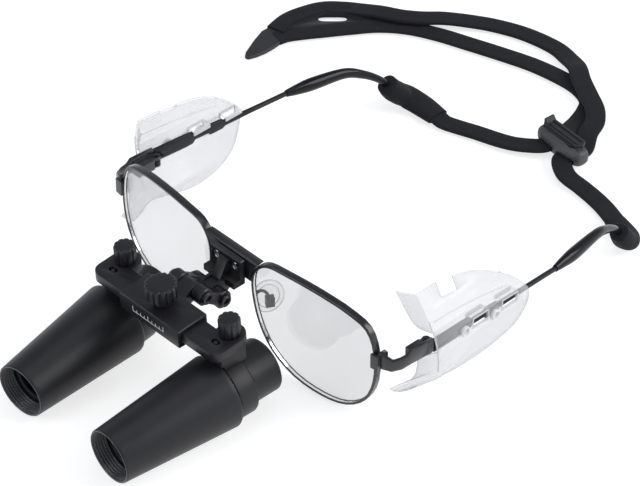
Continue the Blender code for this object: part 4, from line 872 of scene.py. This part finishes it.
def button(place):
    """A long plate on a stem, with two ribs along it and a tooth at one end."""
    low = LOCK_TALL - BUTTON_SINK
    high = low + BUTTON_THICK
    reach = BUTTON_LONG / 2
    front = BUTTON_BACK - BUTTON_WIDE / 2
    back = BUTTON_BACK + BUTTON_WIDE / 2
    foot = high - OVERLAP
    stem_x = POCKET_LONG / 2 - FIT_GAP
    stem_y = POCKET_WIDE / 2 - FIT_GAP
    stem = block((-stem_x, -stem_y, POCKET_LOW + STEM_LOW), (stem_x, stem_y, low + STEM_OVERLAP))
    shoulder = reach - BUTTON_POINT
    corners = ((reach, BUTTON_BACK), (shoulder, back), (-reach, back), (-reach, front), (shoulder, front))
    parts = [stem, slab(corners, low, high)]
    for y in (front + RIB_INSET, back - RIB_INSET - RIB_WIDE):
        rib_end = reach - RIB_SHORT
        parts.append(block((-rib_end, y, foot), (rib_end, y + RIB_WIDE, high + RIB_TALL)))
    tip = high + TOOTH_TALL
    tooth = ((-reach, foot), (-reach + TOOTH_LONG, foot), (-reach + TOOTH_TOP, tip), (-reach, tip))
    parts.append(slab(tooth, front + TOOTH_INSET, back - TOOTH_INSET, "XZY"))
    item = piece("lock_press", together(parts), "tab", "lock_button", place, ("lock_button",))
    soften(item, BUTTON_EASE)


def spring():
    """The steel spring under the button."""
    place, half = place_of("lock_spring")
    low = place.translation - Vector((0, 0, half.z))
    count = SPRING_STEPS * SPRING_TURNS
    path = []
    for i in range(count + 1):
        turn = 2 * math.pi * SPRING_TURNS * i / count
        rise = SPRING_WIRE_R + 2 * (half.z - SPRING_WIRE_R) * i / count
        path.append(low + Vector((SPRING_R * math.cos(turn), SPRING_R * math.sin(turn), rise)))
    coil = wire(path, SPRING_WIRE_R)
    item = piece("press_spring", coil, "steel", "frame", None, ("lock_spring",), ROUND_EDGE)
    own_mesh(item)


# Barrels: steps of each eased edge in millimetres, outward and along, and the places of the cone's rings
FRONT_EDGE = ((-0.55, 0.0), (-0.2, 0.06), (0.0, 0.35))
BORE_EDGE = ((0.3, 0.04), (0.0, 0.4))
COLLAR_FRONT = ((-0.4, 0.0), (0.0, 0.4))
COLLAR_BACK = ((0.0, -1.0), (-0.3, -0.35), (-0.9, 0.0))
NECK_EDGE = ((0.1, 0.0), (0.0, 0.3))
CONE_AT = (1.0, 12.0, 24.0, 36.0, 47.0)


def barrel(side, word):
    """A conical shell, dark inside, with a pale ring painted as a highlight on its front face, pale rings
    painted as highlights on the thread crests, and the eyepiece.
    """
    place = CARRIER @ moved((side * ARM_KNOB_X, ARM_KNOB_Y, -AXIS_DROP), -side * BARREL_TURN)
    body = "barrel_" + word
    end = SHOULDER_AT + SHOULDER_EASE
    tube = around_axis(cone() + bore(end)[::-1])
    shell = piece("shell_" + word, tube, "barrel", body, place, ("barrel_body_" + word,))
    shell.data.materials.append(MATERIALS["inside"])
    for face in shell.data.polygons:
        if face.normal.x * face.center.x + face.normal.z * face.center.z < 0:
            face.material_index = 1
    # Pale rings painted as highlights: one on the front face, and one on each thread crest
    at_front = place @ moved((0, HIGHLIGHT_RING_BACK - KNOB_FROM_FRONT, 0))
    wide = 2 * (FRONT_R - HIGHLIGHT_RING_INSET)
    ring = hoop(wide, wide, HIGHLIGHT_RING_R, FINE_AROUND)
    piece("lip_" + word, ring, "lip", body, at_front, (), ROUND_EDGE)
    wide = 2 * (FRONT_BORE_R - THREAD_DEPTH)
    turns = [THREAD_FROM + (i + 0.5) * THREAD_PITCH for i in range(THREADS)]
    crest_highlight_rings = [hoop(wide, wide, CREST_HIGHLIGHT_R, FINE_AROUND, y) for y in turns]
    piece("crest_highlights_" + word, together(crest_highlight_rings), "lip", body, at_front, (), ROUND_EDGE)
    tube = around_axis(eyepiece(end + FIT_GAP))
    piece("eyepiece_" + word, tube, "barrel", body, place, ("eyepiece_housing_" + word,))


def around_axis(profile):
    """A closed profile of radius and distance from the front, turned round the barrel's axis."""
    return turned([(r, s - KNOB_FROM_FRONT) for r, s in profile], FINE_AROUND, "XZY", closed=True)


def edge(radius, at, steps):
    return [(radius + out * MM, at + along * MM) for out, along in steps]


def quarter_round(radius, at, ease):
    return [(radius - ease * (1 - math.cos(t)), at + ease * math.sin(t)) for t in QUARTER]


def cone():
    grow = (SHOULDER_R - FRONT_R) / SHOULDER_AT
    profile = edge(FRONT_R, 0.0, FRONT_EDGE) + [(FRONT_R + grow * s * MM, s * MM) for s in CONE_AT]
    return profile + quarter_round(SHOULDER_R, SHOULDER_AT, SHOULDER_EASE)


def bore(end):
    """The inside of the shell: thread, seat of the front lens, and the widening bore behind it."""
    crest_r = FRONT_BORE_R - THREAD_DEPTH
    profile = edge(FRONT_BORE_R, 0.0, BORE_EDGE)
    for i in range(THREADS):
        start = THREAD_FROM + i * THREAD_PITCH
        profile.append((FRONT_BORE_R, start))
        profile += [(crest_r, start + share * THREAD_PITCH) for share in CREST_SHARES]
    seat_end = SEAT_FROM + SEAT_LONG
    stop_r = SEAT_R - SEAT_STEP
    profile += [(FRONT_BORE_R, SEAT_FROM), (SEAT_R, SEAT_FROM), (SEAT_R, seat_end)]
    profile += [(stop_r, seat_end), (stop_r, seat_end + SEAT_STEP)]
    return profile + [(REAR_BORE_R, end - REAR_BORE_LONG), (REAR_BORE_R, end)]


def eyepiece(joint):
    """Spigot, collar with eased edges and rounded end, then back along the bore from the eye hole."""
    collar = joint + COLLAR_LONG
    spigot = REAR_BORE_R - FIT_GAP
    profile = [(spigot, joint - SPIGOT_LONG), (spigot, joint)]
    profile += edge(COLLAR_R, joint, COLLAR_FRONT) + edge(COLLAR_R, collar, COLLAR_BACK)
    profile += edge(EYE_R, collar, NECK_EDGE)
    profile += quarter_round(EYE_R, BARREL_LONG - EYE_EASE, EYE_EASE)
    lip = BARREL_LONG - EYE_LIP
    profile += [(EYE_HOLE_R, BARREL_LONG), (EYE_HOLE_R, lip)]
    return profile + [(EYE_BORE_R, lip), (EYE_BORE_R, joint - SPIGOT_LONG)]


# Knobs: inset and height of each level in millimetres, and for the dome its share of the radius and height
KNOB_FOOT = ((0.6, 0.0), (0.15, 0.25), (0.0, 0.6))
KNOB_TOP = ((0.0, -0.8), (0.15, -0.35), (0.5, -0.08), (1.0, 0.0))
KNOB_DOME = ((0.6, 0.05), (0.05, 0.1))


def fluted(radius, flutes, count):
    """A circle with narrow round grooves."""
    points = []
    for i, (x, y) in enumerate(circle(radius, count)):
        phase = (flutes * i / count) % 1
        near = min(phase, 1 - phase) / FLUTE_SHARE
        shrink = 1 - FLUTE_DEPTH * max(0.0, 1 - near ** 2)
        points.append((x * shrink, y * shrink))
    return points


def knob(name, node_name, place, stem, radius, low, tall, flutes):
    """A fluted knob on a round stem, with eased edges and a slightly domed top."""
    count = FLUTE_POINTS * flutes
    high = low + tall
    skirt = fluted(radius, flutes, count)
    levels = [(circle(r, count), z) for r, z in stem]
    for base, steps in ((low, KNOB_FOOT), (high, KNOB_TOP)):
        for inset, up in steps:
            share = 1 - inset * MM / radius
            levels.append(([(x * share, y * share) for x, y in skirt], base + up * MM))
    levels += [(circle(radius * share, count), high + up * MM) for share, up in KNOB_DOME]
    data = loft([[(x, y, z) for x, y in outline] for outline, z in levels])
    piece(name, data, "mount", node_name, place, (node_name,), KNOB_EDGE)


def knobs():
    step = BLOCK_TOP + FIT_GAP
    stem = [(PD_STEM_R, ARM_TOP), (PD_STEM_R, step), (PD_COLLAR_R, step), (PD_COLLAR_R, PD_KNOB_LOW)]
    place = CARRIER @ moved((0, GEAR_Y, 0))
    knob("centre_knob", "pd_knob", place, stem, PD_KNOB_R, PD_KNOB_LOW, PD_KNOB_TALL, PD_FLUTES)
    low = ARM_TOP + KNOB_GAP
    stem = [(ARM_STEM_R, ARM_TOP - ARM_STEM_LONG), (ARM_STEM_R, low)]
    for side, word in SIDES:
        place = CARRIER @ moved((side * ARM_KNOB_X, ARM_KNOB_Y, 0))
        knob("thumbscrew_" + word, "arm_knob_" + word, place, stem, ARM_KNOB_R, low, ARM_KNOB_TALL,
             ARM_FLUTES)


# Pivot pins and screws, in the places of the CAD ones
def place_of(name):
    """The middle of a CAD node as a place, and half its size."""
    low, high = [Vector(corner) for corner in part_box(name)]
    return moved((low + high) / 2), (high - low) / 2


def pin(name, node_name, body):
    """A pin with a head at each end and a hexagon socket in each head."""
    place, half = place_of(node_name)
    end = half.x
    neck = end - PIN_HEAD_TALL
    side = [(PIN_R, neck), (PIN_HEAD_R, neck), (PIN_HEAD_R, end - PIN_EASE), (PIN_HEAD_R - PIN_EASE, end)]
    profile = [(r, -x) for r, x in reversed(side)] + side
    item = make(name, turned(profile, 48, "YZX"), "mount", place)
    for sign in (-1, 1):
        low, high = sorted((sign * (end - SOCKET_DEEP), sign * (end + MM)))
        cut(item, make("socket", slab(circle(SOCKET_R, 6), low, high, "YZX"), "mount", place))
    enter(item, body, (node_name,))


def bracket_screw(word):
    """A screw with a round head and a hexagon socket."""
    node_name = "bracket_screw_" + word
    place, half = place_of(node_name)
    front = -half.y
    under = front + SCREW_HEAD_TALL
    profile = [(SCREW_HEAD_R - SCREW_EASE, front), (SCREW_HEAD_R, front + SCREW_EASE), (SCREW_HEAD_R, under)]
    profile += [(SCREW_R, under), (SCREW_R, half.y)]
    item = make("screw_" + word, turned(profile, 40, "XZY"), "steel", place)
    socket = slab(circle(SCREW_SOCKET_R, 6), front - MM, front + SCREW_SOCKET_DEEP, "XZY")
    cut(item, make("socket", socket, "steel", place))
    enter(item, "frame", (node_name,))


def hinge_screw(word):
    """A screw with its head sunk flush in the knuckle."""
    node_name = "hinge_screw_" + word
    place, half = place_of(node_name)
    radius = half.x / 2
    wide = HINGE_HEAD_GROW * radius
    under = half.z - HINGE_HEAD_TALL
    top = half.z - HINGE_HEAD_SINK * HINGE_HEAD_TALL
    profile = [(radius, -half.z), (radius, under), (wide, under), (wide, top)]
    piece("hinge_pin_" + word, turned(profile, 32), "frame", "frame", place, (node_name,))


# White scale on the front of the slide block
def scale():
    front = BLOCK_FRONT - SCALE_PROUD
    back = BLOCK_FRONT + SCALE_SUNK
    end = SCALE_FROM + (SCALE_TICKS - 1) * SCALE_STEP
    parts = [block((SCALE_FROM, front, SCALE_BASE - SCALE_LINE), (end, back, SCALE_BASE + SCALE_LINE))]
    for i in range(SCALE_TICKS):
        x = SCALE_FROM + i * SCALE_STEP
        tall = SCALE_SHORT if i % SCALE_LONG_EVERY else SCALE_LONG
        parts.append(block((x - SCALE_LINE, front, SCALE_BASE), (x + SCALE_LINE, back, SCALE_BASE + tall)))
    piece("scale", together(parts), "mark", "carrier", CARRIER, ())


# Rings moulded into the nose pads
def pad_rings(side, word):
    face = Vector((-side * math.sin(PAD_TURN), math.cos(PAD_TURN), 0))
    centre = Vector((side * PAD_AT[0], PAD_AT[1], PAD_AT[2])) + face * PAD_OUT
    place = ROW @ moved(centre, side * PAD_TURN)
    rings = together([hoop(share * PAD_WIDE, share * PAD_TALL, PAD_RING_R) for share in PAD_RING_SHARES])
    piece("pad_rings_" + word, rings, "shield", "nose_pad_" + word, place, (), ROUND_EDGE)


# Side shields: the flat outline and what is on it, in millimetres behind the hinge and above the temple
SHIELD_OUTLINE = (
    (-12.9, 22.5), (-5.0, 22.3), (4.5, 22.1), (4.7, 16.8), (12.8, 15.7), (12.6, 20.6), (20.6, 18.7),
    (26.9, 16.1), (33.6, 12.0), (40.3, 6.8), (45.4, 0.6), (46.5, -3.6), (45.0, -8.7), (40.8, -14.6),
    (35.0, -17.8), (28.4, -19.6), (19.4, -20.4), (11.0, -19.4), (5.0, -18.0), (-1.7, -17.4),
    (-6.9, -18.0), (-12.4, -18.0), (-16.2, -16.0), (-19.0, -13.4), (-15.2, -12.9), (-10.9, -12.0),
    (-9.5, -9.7), (-9.6, -1.8), (-0.7, -1.8), (-2.3, 7.1), (-8.2, 8.9), (-10.9, 13.3),
)
SHIELD_CORNERS = (0, 2, 3, 4, 5, 23, 26, 27, 28, 29)
NOTCH_FLOOR = (3, 4)
NOTCH_FILL = {"left": 0.0, "right": 3.9}
SPLIT_REACH = 24
SPLIT_STEP = 2
STUDS = ((12.2, -0.2), (27.8, -1.8))
CREASE = ((-1.9, 11.0), (4.0, 10.7), (12.0, 10.0), (24.0, 8.4), (35.5, 6.2))
BEAD_UP = (12.0, 7.0, 2.0, -2.0, -7.0, -12.0)

# Profile of a stud: inset and height in millimetres
STUD_PROFILE = ((0.0, -0.1), (0.0, 0.7), (0.3, 1.0), (0.8, 1.0), (1.0, 0.2), (1.8, 0.2))


def fold_line(z):
    return HINGE_Y - FOLD_AHEAD - (z - TEMPLE_Z) * FOLD_LEAN


def shield_point(side, y, z):
    """From the flat outline to the domed panel, with flap and tail turned inward ahead of the fold."""
    ahead = max(0.0, fold_line(z) - y)
    turn = FLAP_TURN if z > TEMPLE_Z else TAIL_TURN
    y += ahead * (1 - math.cos(turn))
    run = y - TEMPLE_START
    base_z = TEMPLE_Z - TEMPLE_FALL * run
    x = TEMPLE_X - TEMPLE_TOE * run + PANEL_OUT
    x -= (z - base_z) ** 2 / (2 * SHIELD_ROUND) + ahead * math.sin(turn)
    x -= side * (z - base_z) * math.tan(SHIELD_TILT)
    return ROW @ Vector((side * x, y + side * SHIELD_SHIFT, z))


def outer_point(side, back, up):
    """A point of the flat outline on the outer face of the finished panel."""
    at = shield_point(side, HINGE_Y + back * MM, TEMPLE_Z + up * MM)
    return at + Vector((side * SHIELD_THICK / 2, 0, 0))


def cornered(points, corners, steps):
    """A closed outline that runs smoothly from corner to corner."""
    count = len(points)
    found = []
    for i in range(count):
        now = points[i]
        then = points[(i + 1) % count]
        before = points[i - 1] if i not in corners else now
        after = points[(i + 2) % count] if (i + 1) % count not in corners else then
        found += [between(before, now, then, after, k / steps) for k in range(steps)]
    return found


def split(data, point, normal):
    everything = data.verts[:] + data.edges[:] + data.faces[:]
    bmesh.ops.bisect_plane(data, geom=everything, plane_co=point, plane_no=Vector(normal).normalized())


def temple_tall(y):
    """How tall the temple is behind its plate: a waist, then a taper into the wire."""
    waist = WAIST_SHARE * TEMPLE_TALL
    if y < WAIST_END:
        return waist
    return waist + (2 * WIRE_R - waist) * (y - TAPER_START) / (WIRE_START - TAPER_START)


def shield(side, word):
    panel = shield_panel(side, word)
    body = "temple_" + word
    for index, y in enumerate(HOOK_AT):
        name = word + str(index)
        centre = temple_point(side, y)
        top = temple_tall(y) / 2 + 2 * FIT_GAP + WINDOW_TOP
        opening = centre + Vector((0, 0, (top - WINDOW_LOW) / 2))
        half = (top + WINDOW_LOW) / 2
        reach = [side * x for x in WINDOW_CUT]
        cut(panel, make("window", sided(opening, reach, WINDOW_LONG / 2, half), "shield"))
        window_highlight_frame(side, name, opening, half, body)
        hook(side, name, centre, top, body)
    enter(panel, body, ("side_shield_" + word,))
    shield_details(side, word, body)


def shield_panel(side, word):
    """The folded and domed sheet, whose notch in the top edge is shallower on the right."""
    points = [Vector(point) for point in SHIELD_OUTLINE]
    for index in NOTCH_FLOOR:
        points[index].y += NOTCH_FILL[word]
    outline = cornered(points, SHIELD_CORNERS, 4)
    data = bmesh.new()
    data.faces.new([data.verts.new((0, HINGE_Y + p.x * MM, TEMPLE_Z + p.y * MM)) for p in outline])
    for up in range(SPLIT_STEP - SPLIT_REACH, SPLIT_REACH, SPLIT_STEP):
        split(data, (0, 0, TEMPLE_Z + up * MM), (0, 0, 1))
    split(data, (0, fold_line(TEMPLE_Z), TEMPLE_Z), (0, 1, FOLD_LEAN))
    bmesh.ops.triangulate(data, faces=data.faces[:])
    for vert in data.verts:
        vert.co = shield_point(side, vert.co.y, vert.co.z)
    panel = make("shield_" + word, data, "shield", sharp=SHIELD_EDGE)
    # The panel's cut rim gets the pale finish: a painted highlight along the edge of the clear sheet
    panel.data.materials.append(MATERIALS["edge"])
    thicken = panel.modifiers.new("thicken", "SOLIDIFY")
    thicken.thickness = SHIELD_THICK
    thicken.offset = 0
    thicken.material_offset_rim = 1
    return panel


def hook(side, name, centre, top, body):
    """A clear hook from the panel over the temple, with a pale lip down its inner side and pale end faces,
    both painted highlights.
    """
    inner = -side * (TEMPLE_THICK / 2 + FIT_GAP)
    reach = side * PANEL_OUT
    over = centre + Vector((0, 0, top + HOOK_WALL / 2))
    strip = make("hook_" + name, sided(over, (inner, reach), HOOK_LONG / 2, HOOK_WALL / 2), "strip")
    strip.data.materials.append(MATERIALS["edge"])
    # The hook's end faces get the pale finish as painted highlights
    for face in strip.data.polygons:
        face.material_index = 1 if abs(face.normal.y) > 0.5 else 0
    down = centre + Vector((0, 0, top + HOOK_WALL - LIP_TALL / 2))
    lip = sided(down, (inner - side * HOOK_WALL, inner), HOOK_LONG / 2, LIP_TALL / 2)
    for item in (strip, make("hook_highlight_lip_" + name, lip, "edge")):
        enter(item, body, ())


def window_highlight_frame(side, name, centre, half, body):
    """A pale frame painted round a window as a highlight along its edge, on the outer face of the panel."""
    face = side * (PANEL_OUT + SHIELD_THICK / 2)
    across = (face - side * BORDER_SUNK, face + side * BORDER_PROUD)
    border = sided(centre, across, WINDOW_LONG / 2 + BORDER_WIDE, half + BORDER_WIDE)
    item = make("window_highlight_frame_" + name, border, "edge")
    through = (face - side * MM, face + side * MM)
    cut(item, make("opening", sided(centre, through, WINDOW_LONG / 2, half), "edge"))
    enter(item, body, ())


def shield_details(side, word, body):
    """Two studs, the moulded crease and the bead along the fold; the studs and the bead are in the pale
    finish of painted highlights.
    """
    profile = [(STUD_R - inset * MM, side * x * MM) for inset, x in STUD_PROFILE]
    for index, (back, up) in enumerate(STUDS):
        place = moved(outer_point(side, back, up))
        data = turned(profile, 32, "YZX")
        piece("stud_" + word + str(index), data, "edge", body, place, ())
    bead = [(-FOLD_AHEAD / MM - up * FOLD_LEAN, up) for up in BEAD_UP]
    lines = (("crease", "shield", CREASE_R, CREASE), ("fold", "edge", BEAD_R, bead))
    for name, finish, radius, points in lines:
        path = smooth_run([outer_point(side, back, up) for back, up in points], 4)
        piece(name + "_" + word, wire(path, radius), finish, body, None, (), ROUND_EDGE)


# CAD nodes that stay in view, with their finish and the width of their eased edges in millimetres
PAIRED_NODES = (
    ("rim_", "frame", 0.12), ("endpiece_", "frame", 0.25), ("temple_", "temple", 0.25),
    ("pad_arm_", "mount", 0.15), ("rim_screw_", "steel", 0), ("lens_", "lens", 0), ("nose_pad_", "pad", 0),
    ("slide_arm_", "mount", 0.35), ("barrel_foot_", "mount", 0.3), ("objective_lens_", "optic", 0),
    ("objective_ring_", "inside", 0.15), ("prism_", "optic", 0), ("eyepiece_lens_", "optic", 0),
)
SINGLE_NODES = (
    ("bridge_bar", "mount", 0.3), ("mount_bracket", "mount", 0.25), ("hinge_link", "mount", 0.3),
    ("slide_block", "mount", 0.2), ("slide_cover", "mount", 0), ("pd_pinion", "steel", 0),
)


def dress_frame():
    for _, word in SIDES:
        for name, finish, width in PAIRED_NODES:
            dress(name + word, finish, width * MM)
    for name, finish, width in SINGLE_NODES:
        dress(name, finish, width * MM)


# Light, backdrop and floor
def world():
    """White behind the scene and through glass, and for what it lights a paler horizon than zenith."""
    sky = bpy.data.worlds.new("studio")
    bpy.context.scene.world = sky
    sky.use_nodes = True
    tree = sky.node_tree
    tree.nodes.clear()
    path = node(tree, "LightPath")
    seen = either(tree, path.outputs["Is Camera Ray"], path.outputs["Is Transmission Ray"])
    way = node(tree, "SeparateXYZ", [("Vector", node(tree, "TexCoord").outputs["Generated"])])
    tone = ramp(tree, way.outputs["Z"], HORIZON, ZENITH, *SKY_RISE)
    white = node(tree, "Background", color=(1, 1, 1, 1))
    soft = node(tree, "Background", [("Color", tone)])
    mixed = node(tree, "MixShader", [(0, seen), (1, soft.outputs[0]), (2, white.outputs[0])])
    node(tree, "OutputWorld", [("Surface", mixed.outputs[0])])


def lamp(name, at, size, power):
    data = bpy.data.lights.new(name, "AREA")
    data.size = size
    data.energy = power
    item = placed(name, data)
    item.location = at
    item.rotation_euler = (Vector(at) - Vector(LAMP_AIM)).to_track_quat("Z", "Y").to_euler()


def floor():
    data = bmesh.new()
    corners = ((-1, -1), (1, -1), (1, 1), (-1, 1))
    data.faces.new([data.verts.new((x * FLOOR_HALF, y * FLOOR_HALF, -FLOOR_DROP)) for x, y in corners])
    MATERIALS["floor"] = floor_finish()
    make("floor", data, "floor")


def floor_finish():
    """Pale paper that stays near white in the light and keeps a faint shadow."""
    material, tree, body = shader("floor_paper", Roughness=0.9, Specular_IOR_Level=0.05)
    slow = noise(tree, *FLOOR_PATCHES)
    tree.links.new(ramp(tree, slow, *FLOOR_TONES), body.inputs["Base Color"])
    path = node(tree, "LightPath")
    seen = either(tree, path.outputs["Is Camera Ray"], path.outputs["Is Glossy Ray"])
    seen = either(tree, seen, path.outputs["Is Transmission Ray"])
    body.inputs["Emission Color"].default_value = (1, 1, 1, 1)
    tree.links.new(spread(tree, seen, 0.0, FLOOR_GLOW), body.inputs["Emission Strength"])
    return material


def main():
    bpy.context.scene.view_settings.view_transform = "Standard"
    camera()
    dress_frame()
    strap()
    lock()
    for side, word in SIDES:
        sleeve(side, word)
        temple_tip(side, word)
        barrel(side, word)
        shield(side, word)
        bracket_screw(word)
        hinge_screw(word)
        pad_rings(side, word)
    pin("rear_pin", "rear_pivot_pin", "frame")
    pin("front_pin", "front_pivot_pin", "link")
    knobs()
    scale()
    world()
    for values in LAMPS:
        lamp(*values)
    floor()


main()
